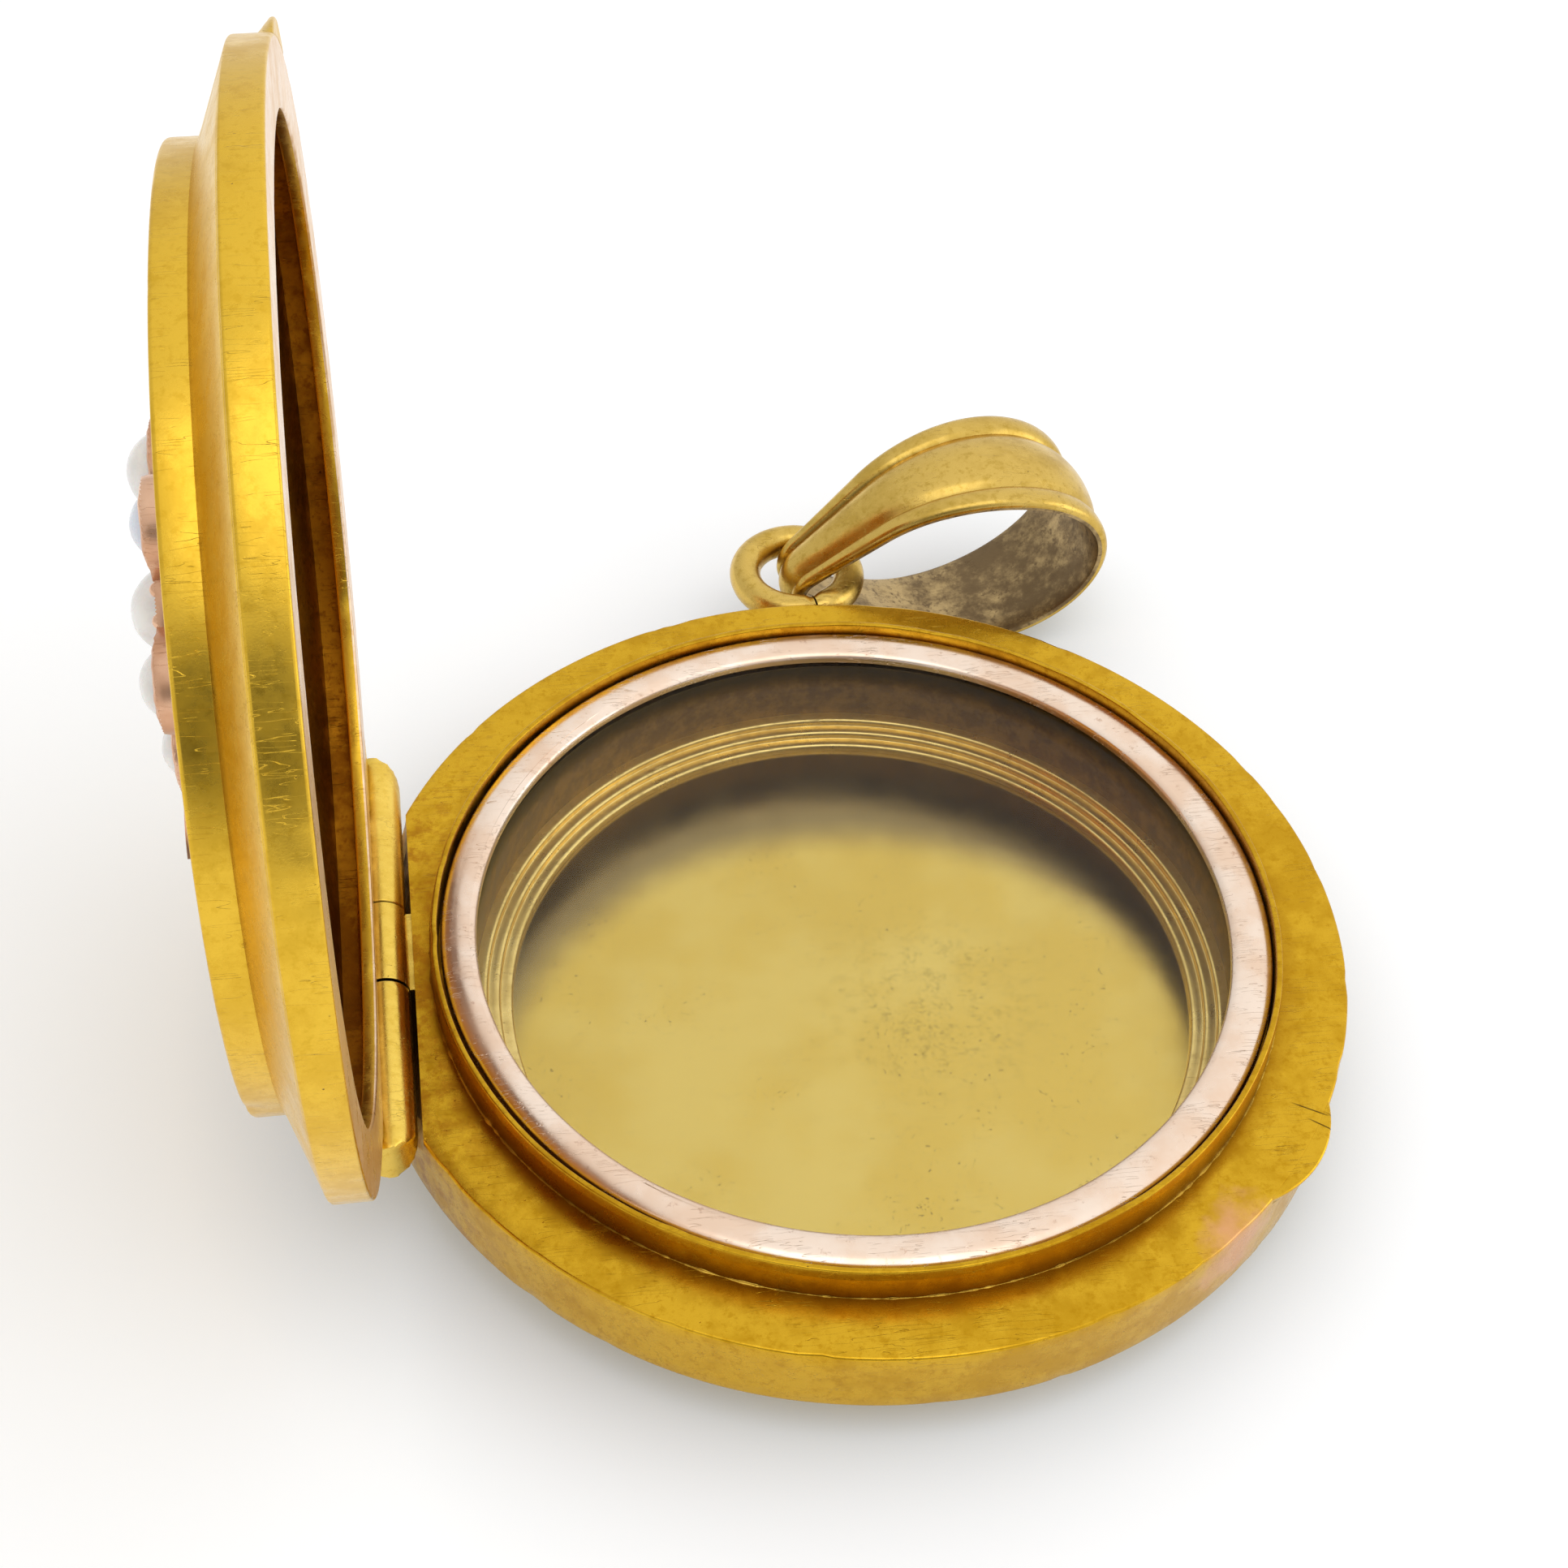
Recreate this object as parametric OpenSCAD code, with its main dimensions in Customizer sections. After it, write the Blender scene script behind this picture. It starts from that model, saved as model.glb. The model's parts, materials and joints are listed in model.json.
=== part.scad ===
// Round two-part locket, shown lying on its back with the cover standing open.
// Millimetres. Origin: centre of the flat back face. +Z up out of the back,
// hinge along Y on the -X side, bail side at +Y.

/* [Case] */
// Outer radius of the closed case
case_r = 16; // [14:0.5:18]
// Height of the body from the flat back to the parting plane
body_h = 4.3; // [4.1:0.1:5]
// Thickness of the gold sheet
sheet = 0.45; // [0.4:0.05:0.5]
// Radius of the stepped-in back and front faces
face_r = 13.45; // [13.4:0.05:14]
// Height of the straight outer band of the body
band_h = 2.6; // [2.3:0.1:2.7]
// Height of the sloping ledge of the body
ledge_h = 0.9; // [0.7:0.1:1.1]

/* [Cover] */
// Height of the straight outer band of the cover
cover_band_h = 1.15; // [1:0.05:1.4]
// Height of the sloping ledge of the cover
cover_ledge_h = 1; // [0.7:0.05:1.1]
// Height of the straight upper band of the cover
cover_upper_h = 0.95; // [0.85:0.05:1.2]
// Radius of the opening in the cover's flange
cover_opening_r = 14.05; // [14.05:0.05:14.3]
// Angle at which the cover stands open, 0 is closed
open_angle = 91; // [0:1:91]

/* [Hinge] */
// Distance of the hinge line from the case's axis
hinge_x = 15.4; // [15.3:0.05:15.6]
// Depth of the hinge line below the parting plane
hinge_drop = 0.15; // [0.15:0.05:0.25]
// Outer radius of the knuckles
knuckle_r = 0.8; // [0.76:0.01:0.82]
// Radius of the hinge pin
pin_r = 0.25; // [0.22:0.01:0.28]
// Radial clearance of the pin in the middle knuckle
pin_clear = 0.05; // [0.03:0.01:0.08]
// Length of the whole knuckle line
hinge_len = 16.4; // [15:0.2:17]
// Length of the middle knuckle
mid_knuckle_len = 3.2; // [2.8:0.1:4]
// Shift of the hinge's centre towards the bail
hinge_shift = 0.8; // [0:0.1:0.8]

/* [Crystal] */
// Outer radius of the snap collar
collar_r = 13.82; // [13.7:0.01:13.85]
// Height of the snap collar above the flange
collar_h = 1.3; // [1:0.05:1.4]
// Radius of the crystal seen inside the bezel
crystal_r = 12.5; // [12.3:0.05:12.6]
// Depth of the picture well below the parting plane
well_depth = 3; // [2.6:0.1:3]

/* [Bail] */
// Direction in which the bail lies, from +X towards +Y
bail_bearing = 9.4; // [0:0.1:60]
// Slope at which the bail rises from its loop
bail_pitch = 7; // [7:0.1:12]
// Direction from the loop's centre in which the bail hangs
bail_contact = 8; // [5:1:30]
// Distance of the bail's narrow bend from the loop's centre
bail_seat = 0.9; // [0.8:0.02:1]
// Distance between the centres of the bail's two bends
bail_len = 5.45; // [5.1:0.05:5.5]
// Half length of the oval wide bend
bail_big_u = 5; // [4:0.05:5]
// Half height of the oval wide bend
bail_big_w = 3.6; // [3:0.05:3.6]
// Centre-line radius of the narrow bend round the loop's wire
bail_small_r = 1.18; // [1.16:0.01:1.25]
// Half width of the bail at its wide end, upper side
bail_half_top = 2.8; // [2.2:0.1:3]
// Half width of the bail at its wide end, lower side
bail_half_low = 2.5; // [2:0.1:2.8]
// Half width of the bail at the loop
bail_half_n = 1.16; // [0.6:0.02:1.16]
// Radius of the loop's wire
loop_wire_r = 0.58; // [0.5:0.01:0.6]
// Centre-line radius of the loop
loop_r = 1.95; // [1.93:0.01:2]
// Direction of the loop from the case's axis, from +X towards +Y
loop_bearing = 88.2; // [80:0.2:90]

/* [Ornament] */
// Height of the flower plaque on the cover
plaque_h = 1.2; // [1:0.05:1.3]
// Distance of the petal pearls from the flower's centre
petal_ring_r = 3.8; // [3.6:0.1:4.2]
// Distance of the flower's centre from the case's axis, away from the hinge
flower_shift = 1; // [0:0.1:1.2]
// Radius of the centre pearl
centre_pearl_r = 1.25; // [1:0.05:1.25]

/* [Hidden] */
$fn = 96;
edge = 0.12;                              // small chamfer on outer edges
seam = 0.05;                              // gap between the closed halves
band_z = body_h - band_h;                 // bottom of the body's outer band
low_z = band_z - ledge_h;                 // bottom of the body's ledge
back_t = min(0.4, low_z - 0.3);           // back plate thickness
hinge_z = body_h - hinge_drop;            // height of the hinge line
gutter_r = 0.95;                          // radius of the trough under the barrel
chord_x = -(hinge_x - gutter_r);          // straight edge of the flange at the hinge
barrel_y0 = hinge_shift - hinge_len / 2;
barrel_y1 = hinge_shift + hinge_len / 2;
mid_y0 = hinge_shift - mid_knuckle_len / 2;
mid_y1 = hinge_shift + mid_knuckle_len / 2;
knuckle_gap = 0.08;                       // end gap between knuckles
bearer_gap = 0.76;                        // from the hinge line to a bearer's edge
bearer_steps = 6;
barrel_end_r = 1.0;                       // rounding of the barrel's outer ends
bezel_r = 13.42;                          // outer radius of the bezel ring
well_wall_t = 0.35;
flange_hole_r = crystal_r + 0.05 + well_wall_t;
crystal_t = 0.5;
crystal_z = body_h + 0.1;
floor_t = 0.3;
lip_bearing_body = -39;
lip_bearing_cover = 38;
lip_arc_r = 3.9;                          // radius of the thumb lips in plan
lip_reach = 0.5;                          // how far a lip stands out
lip_t = 0.5;
cover_face_z = seam + cover_band_h + cover_ledge_h + cover_upper_h;
cover_step_z = seam + cover_band_h + cover_ledge_h;
loop_z = body_h - 0.65;                    // height of the loop
loop_c = (case_r + loop_r + loop_wire_r - 0.2) * [cos(loop_bearing), sin(loop_bearing)];
flower_bearing = 46;
// petal pearls: angle round the flower, radius, height of the top over the face
petals = [[0, 1.2, 2.05], [-57, 1, 1.72], [-124, 1.05, 1.82],
          [-178, 0.95, 1.72], [-238, 1, 1.78], [-300, 1.05, 1.82]];
centre_top = 2.26;                        // top of the centre pearl over the face
pearl_seat = 0.3;                         // depth left under every pearl
pearl_gap = 0.02;

// straight ring between two heights, with chamfers on the outer edges
module ring(outer, inner, z0, z1, low = edge, high = edge) {
    rotate_extrude()
        polygon([[inner, z0], [outer - low, z0], [outer, z0 + low],
                 [outer, z1 - high], [outer - high, z1], [inner, z1]]);
}

// sloping sheet between the wide radius at z_wide and the face radius at z_face
module slope(z_wide, z_face) {
    dir = z_wide > z_face ? 1 : -1;
    rotate_extrude()
        polygon([[case_r, z_wide], [face_r, z_face], [face_r - sheet, z_face],
                 [face_r - sheet, z_face + dir * sheet * 0.9], [case_r - sheet, z_wide]]);
}

// solid round bar along the hinge line
module hinge_bar(r, y0, y1) {
    translate([-hinge_x, y0, hinge_z]) rotate([-90, 0, 0]) cylinder(r = r, h = y1 - y0);
}

// everything the hinge trough takes out of the body
module gutter() {
    hinge_bar(gutter_r, -case_r, case_r);
    translate([-case_r - 2, -case_r, hinge_z])
        cube([case_r + 2 + chord_x, 2 * case_r, hinge_drop + 2]);
}

// everything the barrel takes out of the closed cover
module barrel_relief() {
    hinge_bar(knuckle_r, -case_r, case_r);
    hinge_bar(knuckle_r + 0.12, mid_y0 - 0.1, mid_y1 + 0.1);
}

// turns closed-cover geometry up to the open angle
module opened() {
    translate([-hinge_x, 0, hinge_z]) rotate([0, -open_angle, 0])
        translate([hinge_x, 0, -hinge_z]) children();
}

// moves geometry drawn on the cover's flange plane, seen closed, into place
module on_cover(z = 0) {
    opened() translate([0, 0, body_h + z]) children();
}

// crescent-shaped thumb lip with its top at z = 0
module thumb_lip(bearing) {
    rotate([0, 0, bearing]) intersection() {
        difference() {
            rotate_extrude()
                polygon([[0, -lip_t], [case_r, -lip_t], [case_r + lip_reach, -0.14],
                         [case_r + lip_reach, 0], [0, 0]]);
            translate([0, 0, -1]) cylinder(r = case_r, h = 2);
        }
        translate([case_r + lip_reach - lip_arc_r, 0, -1]) cylinder(r = lip_arc_r, h = 2);
    }
}

module body_band() {
    color("gold") difference() {
        ring(case_r, case_r - sheet, band_z, body_h - sheet, edge, 0);
        gutter();
    }
}

module body_flange() {
    color("gold") difference() {
        ring(case_r, flange_hole_r, body_h - sheet, body_h, 0, edge);
        gutter();
    }
}

module body_ledge() {
    color("gold") slope(band_z, low_z);
}

module body_lower_band() {
    color("gold") ring(face_r, face_r - sheet, back_t, low_z, 0, 0);
}

module back_plate() {
    color("gold") ring(face_r, 0, 0, back_t, edge, 0);
}

module hinge_seat() {
    color("gold") difference() {
        intersection() {
            hinge_bar(gutter_r + 0.35, -case_r, case_r);
            translate([0, 0, band_z]) cylinder(r = case_r - sheet, h = band_h - sheet);
        }
        gutter();
    }
}

module body_knuckle() {
    color("gold") difference() {
        union() {
            hinge_bar(knuckle_r, mid_y0, mid_y1);
            intersection() {
                translate([-hinge_x, mid_y0, hinge_z - knuckle_r])
                    cube([hinge_x + chord_x, mid_y1 - mid_y0, knuckle_r + hinge_drop - 0.05]);
                union() {
                    hinge_bar(gutter_r, mid_y0, mid_y1);
                    translate([-case_r, mid_y0, hinge_z]) cube([4, mid_knuckle_len, 1]);
                }
            }
        }
        hinge_bar(pin_r + pin_clear, mid_y0 - 1, mid_y1 + 1);
    }
}

module body_thumb_lip() {
    color("gold") translate([0, 0, body_h]) thumb_lip(lip_bearing_body);
}

module snap_collar() {
    color("gold") translate([-0.1, -0.1, 0])
        ring(collar_r, collar_r - 0.24, body_h, body_h + collar_h, 0, 0.08);
}

module bezel_ring() {
    color("pink") rotate_extrude()
        polygon([[flange_hole_r, body_h], [bezel_r, body_h], [bezel_r, body_h + 0.66],
                 [bezel_r - 0.1, body_h + 0.88], [bezel_r - 0.35, body_h + 1],
                 [crystal_r + 0.3, body_h + 0.95], [crystal_r, body_h + 0.74],
                 [crystal_r, crystal_z + crystal_t],
                 [flange_hole_r, crystal_z + crystal_t]]);
}

module crystal() {
    color("lightblue") translate([0, 0, crystal_z]) cylinder(r = flange_hole_r, h = crystal_t);
}

module well_wall() {
    color("gold")
        ring(flange_hole_r, crystal_r + 0.05, body_h - well_depth - floor_t, crystal_z, 0, 0);
}

module picture_rim() {
    top = body_h - well_depth;
    r = crystal_r + 0.05;
    color("gold") rotate_extrude()
        polygon([[r, top], [r, top + 0.75], [r - 0.3, top + 0.75], [r - 0.3, top + 0.5],
                 [r - 0.6, top + 0.5], [r - 0.6, top + 0.25], [r - 0.95, top + 0.25],
                 [r - 0.95, top]]);
}

module floor_plate() {
    color("gold") translate([0, 0, body_h - well_depth - floor_t])
        cylinder(r = crystal_r + 0.05, h = floor_t);
}

module bail_loop() {
    color("gold") difference() {
        translate([loop_c[0], loop_c[1], loop_z])
            rotate_extrude() translate([loop_r, 0]) circle(r = loop_wire_r, $fn = 48);
        cylinder(r = case_r, h = body_h);
    }
}

module cover_flange() {
    color("gold") difference() {
        on_cover(seam) rotate_extrude()
            polygon([[cover_opening_r, 0], [case_r - edge, 0], [case_r, edge],
                     [case_r, sheet], [cover_opening_r, sheet]]);
        opened() barrel_relief();
    }
}

module cover_band() {
    color("gold") difference() {
        on_cover() ring(case_r, case_r - sheet, seam + sheet, seam + cover_band_h, 0, 0);
        opened() barrel_relief();
    }
}

module cover_ledge() {
    color("gold") on_cover() slope(seam + cover_band_h, cover_step_z);
}

module cover_upper_band() {
    color("gold") on_cover() ring(face_r, face_r - sheet, cover_step_z, cover_face_z, 0, edge);
}

module cover_face() {
    color("gold") on_cover()
        translate([0, 0, cover_face_z - sheet]) cylinder(r = face_r - sheet, h = sheet);
}

module cover_thumb_lip() {
    color("gold") on_cover(seam) mirror([0, 0, 1]) thumb_lip(lip_bearing_cover);
}

// wedges that carry the barrel's ends where the case curves away from it
module cover_bearer() {
    start = acos((hinge_x - bearer_gap) / case_r);
    color("gold") on_cover(seam) linear_extrude(sheet)
        for (side = [-1, 1]) {
            end_y = (side > 0 ? barrel_y1 : -barrel_y0) - 0.3;
            rim = [for (k = [0:bearer_steps])
                let (a = start + (asin(end_y / case_r) - start) * k / bearer_steps)
                [-case_r * cos(a), side * case_r * sin(a)]];
            polygon(concat(rim, [[-hinge_x + bearer_gap, side * end_y]]));
        }
}

// barrel piece whose outer end, at end_y, is rounded away on the body's side
module knuckle(y0, y1, end_y) {
    side = end_y > hinge_shift ? 1 : -1;
    color("gold") opened() difference() {
        hinge_bar(knuckle_r, y0, y1);
        hinge_bar(pin_r, y0 - 1, y1 + 1);
        translate([-hinge_x - 2, end_y - side * barrel_end_r, hinge_z - knuckle_r + barrel_end_r])
            rotate([0, 90, 0]) difference() {
                translate([0, side > 0 ? 0 : -2, 0]) cube([2, 2, 4]);
                translate([0, 0, -1]) cylinder(r = barrel_end_r, h = 6);
            }
    }
}

module upper_knuckle() {
    knuckle(mid_y1 + knuckle_gap, barrel_y1, barrel_y1);
}

module lower_knuckle() {
    knuckle(barrel_y0, mid_y0 - knuckle_gap, barrel_y0);
}

module hinge_pin() {
    color("silver") opened() hinge_bar(pin_r, barrel_y0 + 0.9, barrel_y1 - 0.9);
}

// runs round the petals, in the flower's own frame
module at_petal(i) {
    rotate([0, 0, petals[i][0]]) translate([petal_ring_r, 0, 0]) children();
}

module pearl_hole(r) {
    translate([0, 0, pearl_seat]) cylinder(r = r + pearl_gap, h = 4);
}

module on_flower() {
    on_cover(cover_face_z) translate([flower_shift, 0, 0]) rotate([0, 0, flower_bearing])
        children();
}

module flower_plaque() {
    color("pink") on_flower() difference() {
        union() {
            cylinder(r = 3.1, h = plaque_h);
            for (i = [0:5]) at_petal(i) cylinder(r = petals[i][1] + 0.34, h = plaque_h);
        }
        pearl_hole(centre_pearl_r);
        for (i = [0:5]) at_petal(i) pearl_hole(petals[i][1]);
    }
}

// stem and two leaves trailing away from the flower
module leaf_spray() {
    color("pink") on_flower() difference() {
        union() {
            for (side = [-1, 1]) rotate([0, 0, 180]) translate([5.7, side * 0.95, 0])
                rotate([0, 0, side * 35]) intersection() {
                    translate([0, 1, 0]) cylinder(r = 1.7, h = plaque_h - 0.1);
                    translate([0, -1, 0]) cylinder(r = 1.7, h = plaque_h - 0.1);
                }
            rotate([0, 0, 180]) translate([3.4, -0.35, 0]) cube([4, 0.7, plaque_h - 0.1]);
        }
        at_petal(3) cylinder(r = petals[3][1] + 0.34, h = 3);
        cylinder(r = 3.1, h = 3);
    }
}

module setting_grains() {
    color("pink") on_flower() intersection() {
        union() {
            for (k = [0:11]) rotate([0, 0, 30 * k + 15]) translate([1.75, 0, plaque_h])
                sphere(r = 0.24, $fn = 24);
            for (i = [0:5], s = [-1, 1]) rotate([0, 0, petals[i][0] + s * 24])
                translate([2.55, 0, plaque_h]) sphere(r = 0.22, $fn = 24);
        }
        translate([0, 0, plaque_h]) cylinder(r = 6, h = 2);
    }
}

module pearl(r, top) {
    intersection() {
        translate([0, 0, top - r]) sphere(r = r);
        translate([0, 0, pearl_seat]) cylinder(r = r + 1, h = 4);
    }
}

module centre_pearl() {
    color("white") on_flower() pearl(centre_pearl_r, centre_top);
}

module petal_pearl(i) {
    color("white") on_flower() at_petal(i) pearl(petals[i][1], petals[i][2]);
}

module petal_pearl_1() { petal_pearl(0); }
module petal_pearl_2() { petal_pearl(1); }
module petal_pearl_3() { petal_pearl(2); }
module petal_pearl_4() { petal_pearl(3); }
module petal_pearl_5() { petal_pearl(4); }
module petal_pearl_6() { petal_pearl(5); }

// Bail: a ribbed strip bent into a closed drop round the loop's wire.
// Its centre line lies in the (u, w) plane, its width along v: an oval wide bend
// centred at u = bail_len, a round narrow bend at u = 0 and two straight sides.
bail_wide_steps = 40;
bail_side_steps = 10;
bail_narrow_steps = 12;

// cosine of the outward direction of the sides, which touch both bends
bail_qa = bail_len * bail_len - bail_big_u * bail_big_u + bail_big_w * bail_big_w;
bail_qb = bail_small_r * bail_len;
bail_qc = bail_small_r * bail_small_r - bail_big_w * bail_big_w;
bail_side_dir = acos((bail_qb - sqrt(bail_qb * bail_qb - bail_qa * bail_qc)) / bail_qa);
bail_oval_end = atan2(bail_big_w * sin(bail_side_dir), bail_big_u * cos(bail_side_dir));

function bail_oval(t) = [bail_len + bail_big_u * cos(t), bail_big_w * sin(t)];
function bail_oval_dir(t) = atan2(sin(t) / bail_big_w, cos(t) / bail_big_u);
function bail_round(a) = bail_small_r * [cos(a), sin(a)];
function mix(p, q, k) = p + (q - p) * k;

// [centre point, outward direction] once round the drop
bail_line = concat(
    [for (i = [0:bail_wide_steps - 1])
        let (t = bail_oval_end * (2 * i / bail_wide_steps - 1))
        [bail_oval(t), bail_oval_dir(t)]],
    [for (i = [0:bail_side_steps - 1])
        [mix(bail_oval(bail_oval_end), bail_round(bail_side_dir), i / bail_side_steps),
         bail_side_dir]],
    [for (i = [0:bail_narrow_steps - 1])
        let (a = mix(bail_side_dir, 360 - bail_side_dir, i / bail_narrow_steps))
        [bail_round(a), a]],
    [for (i = [0:bail_side_steps - 1])
        [mix(bail_round(-bail_side_dir), bail_oval(-bail_oval_end), i / bail_side_steps),
         -bail_side_dir]]);

// half width: grows from the loop to the wide end, and from the lower to the upper side
function bail_half(c) =
    let (t = (c[0] + bail_small_r) / (bail_len + bail_big_u + bail_small_r),
         grow = pow(sin(90 * max(0, min(1, t))), 1.1),
         wide = mix(bail_half_low, bail_half_top, (c[1] / bail_big_w + 1) / 2))
    bail_half_n + (wide - bail_half_n) * grow;

// strip section as [fraction of the half width, height over the centre line]
bail_ribs = [[-1, -0.3], [-1, 0.08], [-0.92, 0.18], [-0.72, 0.18], [-0.6, 0.06],
    [-0.4, 0.28], [0, 0.4], [0.4, 0.28], [0.6, 0.06], [0.72, 0.18], [0.92, 0.18], [1, 0.08],
    [1, -0.3], [0.5, -0.27], [0, -0.26], [-0.5, -0.27]];

bail_flat = [cos(bail_bearing), sin(bail_bearing), 0];
bail_dir = bail_flat * cos(bail_pitch) + [0, 0, sin(bail_pitch)];
bail_v = [-sin(bail_bearing), cos(bail_bearing), 0];
bail_w = bail_flat * -sin(bail_pitch) + [0, 0, cos(bail_pitch)];
bail_drop = bail_small_r - 0.3 - loop_wire_r - 0.04;   // how far the bail lies below the wire
bail_o = [loop_c[0] + bail_seat * cos(bail_contact), loop_c[1] + bail_seat * sin(bail_contact),
          loop_z - bail_drop];

bail_points = [for (b = bail_line)
    let (c = b[0], a = b[1], h = bail_half(c))
    for (p = bail_ribs)
        bail_o + (c[0] + p[1] * cos(a)) * bail_dir + p[0] * h * bail_v
               + (c[1] + p[1] * sin(a)) * bail_w];

bail_steps = len(bail_line);
bail_m = len(bail_ribs);
bail_faces = [for (i = [0:bail_steps - 1], j = [0:bail_m - 1])
    let (i2 = (i + 1) % bail_steps, j2 = (j + 1) % bail_m)
    for (f = [[i * bail_m + j, i * bail_m + j2, i2 * bail_m + j2],
              [i * bail_m + j, i2 * bail_m + j2, i2 * bail_m + j]]) f];

module bail() {
    color("gold") polyhedron(points = bail_points, faces = bail_faces, convexity = 6);
}

body_band();
body_flange();
body_ledge();
body_lower_band();
back_plate();
hinge_seat();
body_knuckle();
body_thumb_lip();
snap_collar();
bezel_ring();
crystal();
well_wall();
picture_rim();
floor_plate();
bail_loop();
cover_flange();
cover_band();
cover_ledge();
cover_upper_band();
cover_face();
cover_thumb_lip();
cover_bearer();
upper_knuckle();
lower_knuckle();
hinge_pin();
flower_plaque();
leaf_spray();
setting_grains();
centre_pearl();
petal_pearl_1();
petal_pearl_2();
petal_pearl_3();
petal_pearl_4();
petal_pearl_5();
petal_pearl_6();
bail();
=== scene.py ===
"""Round gold picture locket with its cover standing open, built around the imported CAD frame.

Pieces are drawn in millimetres. The cover's pieces are drawn closed and turned open about
the hinge line, as the frame's own joint says.
"""

import json
import math
import random

import bmesh
import bpy
from mathutils import Matrix, Vector, noise


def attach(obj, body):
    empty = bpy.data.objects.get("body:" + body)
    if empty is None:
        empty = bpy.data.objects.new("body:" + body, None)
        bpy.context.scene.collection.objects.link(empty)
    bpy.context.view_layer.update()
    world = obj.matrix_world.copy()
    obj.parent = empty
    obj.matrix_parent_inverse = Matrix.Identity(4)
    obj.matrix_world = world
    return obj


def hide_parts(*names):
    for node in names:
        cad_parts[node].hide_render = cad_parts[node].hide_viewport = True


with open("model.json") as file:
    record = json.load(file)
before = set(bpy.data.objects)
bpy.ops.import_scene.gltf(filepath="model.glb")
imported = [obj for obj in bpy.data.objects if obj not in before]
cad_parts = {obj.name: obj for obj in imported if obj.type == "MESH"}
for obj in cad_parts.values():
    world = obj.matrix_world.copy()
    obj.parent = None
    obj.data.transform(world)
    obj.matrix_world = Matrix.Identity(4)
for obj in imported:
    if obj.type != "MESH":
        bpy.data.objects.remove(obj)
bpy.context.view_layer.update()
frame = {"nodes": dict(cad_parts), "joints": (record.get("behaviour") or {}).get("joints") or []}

MM = 0.001
STEPS = 288                     # steps round the case
EDGE_STEPS = 4                  # steps round a softened edge
noise.seed_set(1877)            # noise_vector is seeded by the clock otherwise

# ------------------------------------------------------------------ frame measures

JOINTS = {j["name"]: j for j in frame["joints"]}
HINGE = Vector(JOINTS["cover_hinge"]["pos_m"]) / MM
OPENED = (
    Matrix.Translation(HINGE)
    @ Matrix.Rotation(math.radians(-JOINTS["cover_hinge"]["range_deg"][1]), 4, "Y")
    @ Matrix.Translation(-HINGE)
)
CLOSED = OPENED.inverted()


def box(node, pose=Matrix()):
    """Lowest and highest corner of a CAD node in millimetres, after turning it by pose."""
    points = [pose @ (v.co / MM) for v in frame["nodes"][node].data.vertices]
    low = Vector([min(p[k] for p in points) for k in range(3)])
    high = Vector([max(p[k] for p in points) for k in range(3)])
    return low, high


CASE_R = box("body_flange")[1].x
BODY_H = box("body_flange")[1].z
SHEET = BODY_H - box("body_flange")[0].z
BAND_Z = box("body_band")[0].z
LOW_Z = box("body_ledge")[0].z
FACE_R = box("back_plate")[1].x
BACK_T = box("back_plate")[1].z
COLLAR_LO, COLLAR_HI = box("snap_collar")
BEZEL_R = box("bezel_ring")[1].x
BEZEL_TOP = box("bezel_ring")[1].z
CRYSTAL_LO, CRYSTAL_HI = box("crystal")
WALL_OUT = box("well_wall")[1].x
WELL_R = box("floor_plate")[1].x
FLOOR_LO, FLOOR_HI = box("floor_plate")
RIM_TOP = box("picture_rim")[1].z
LOOP_LO, LOOP_HI = box("bail_loop")
COVER_Z = box("cover_flange", CLOSED)[0].z
COVER_BAND_Z = box("cover_band", CLOSED)[1].z
COVER_STEP_Z = box("cover_upper_band", CLOSED)[0].z
COVER_FACE_Z = box("cover_upper_band", CLOSED)[1].z
COVER_OPEN_R = 14.05            # opening in the cover's flange
KNUCKLE_R = HINGE.z - box("body_knuckle")[0].z
PLAQUE_TOP = box("flower_plaque", CLOSED)[1].z

# ------------------------------------------------------------------ mesh helpers


def softened(corners, longest=0.5):
    """Closed outline from corners (radius, height, softening, material), as small arcs
    and straight runs cut to at most the longest step. Returns (radius, height, material)."""
    out = []
    count = len(corners)
    arcs = []
    for i in range(count):
        r, z, soft, _ = corners[i]
        here = Vector((r, z))
        before = Vector(corners[i - 1][:2])
        after = Vector(corners[(i + 1) % count][:2])
        if soft <= 0:
            arcs.append([here])
            continue
        to_before = (before - here).normalized()
        to_after = (after - here).normalized()
        half = to_before.angle(to_after) / 2
        back = min(soft / math.tan(half), (before - here).length / 2.05,
                   (after - here).length / 2.05)
        start, end = here + to_before * back, here + to_after * back
        arc = []
        for k in range(EDGE_STEPS + 1):
            t = k / EDGE_STEPS
            arc.append(start * (1 - t) ** 2 + here * 2 * t * (1 - t) + end * t ** 2)
        arcs.append(arc)
    for i in range(count):
        mat = corners[i][3]
        out += [(p.x, p.y, mat) for p in arcs[i]]
        start, end = arcs[i][-1], arcs[(i + 1) % count][0]
        extra = int((end - start).length / longest)
        for k in range(1, extra + 1):
            p = start.lerp(end, k / (extra + 1))
            out.append((p.x, p.y, mat))
    return out


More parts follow.
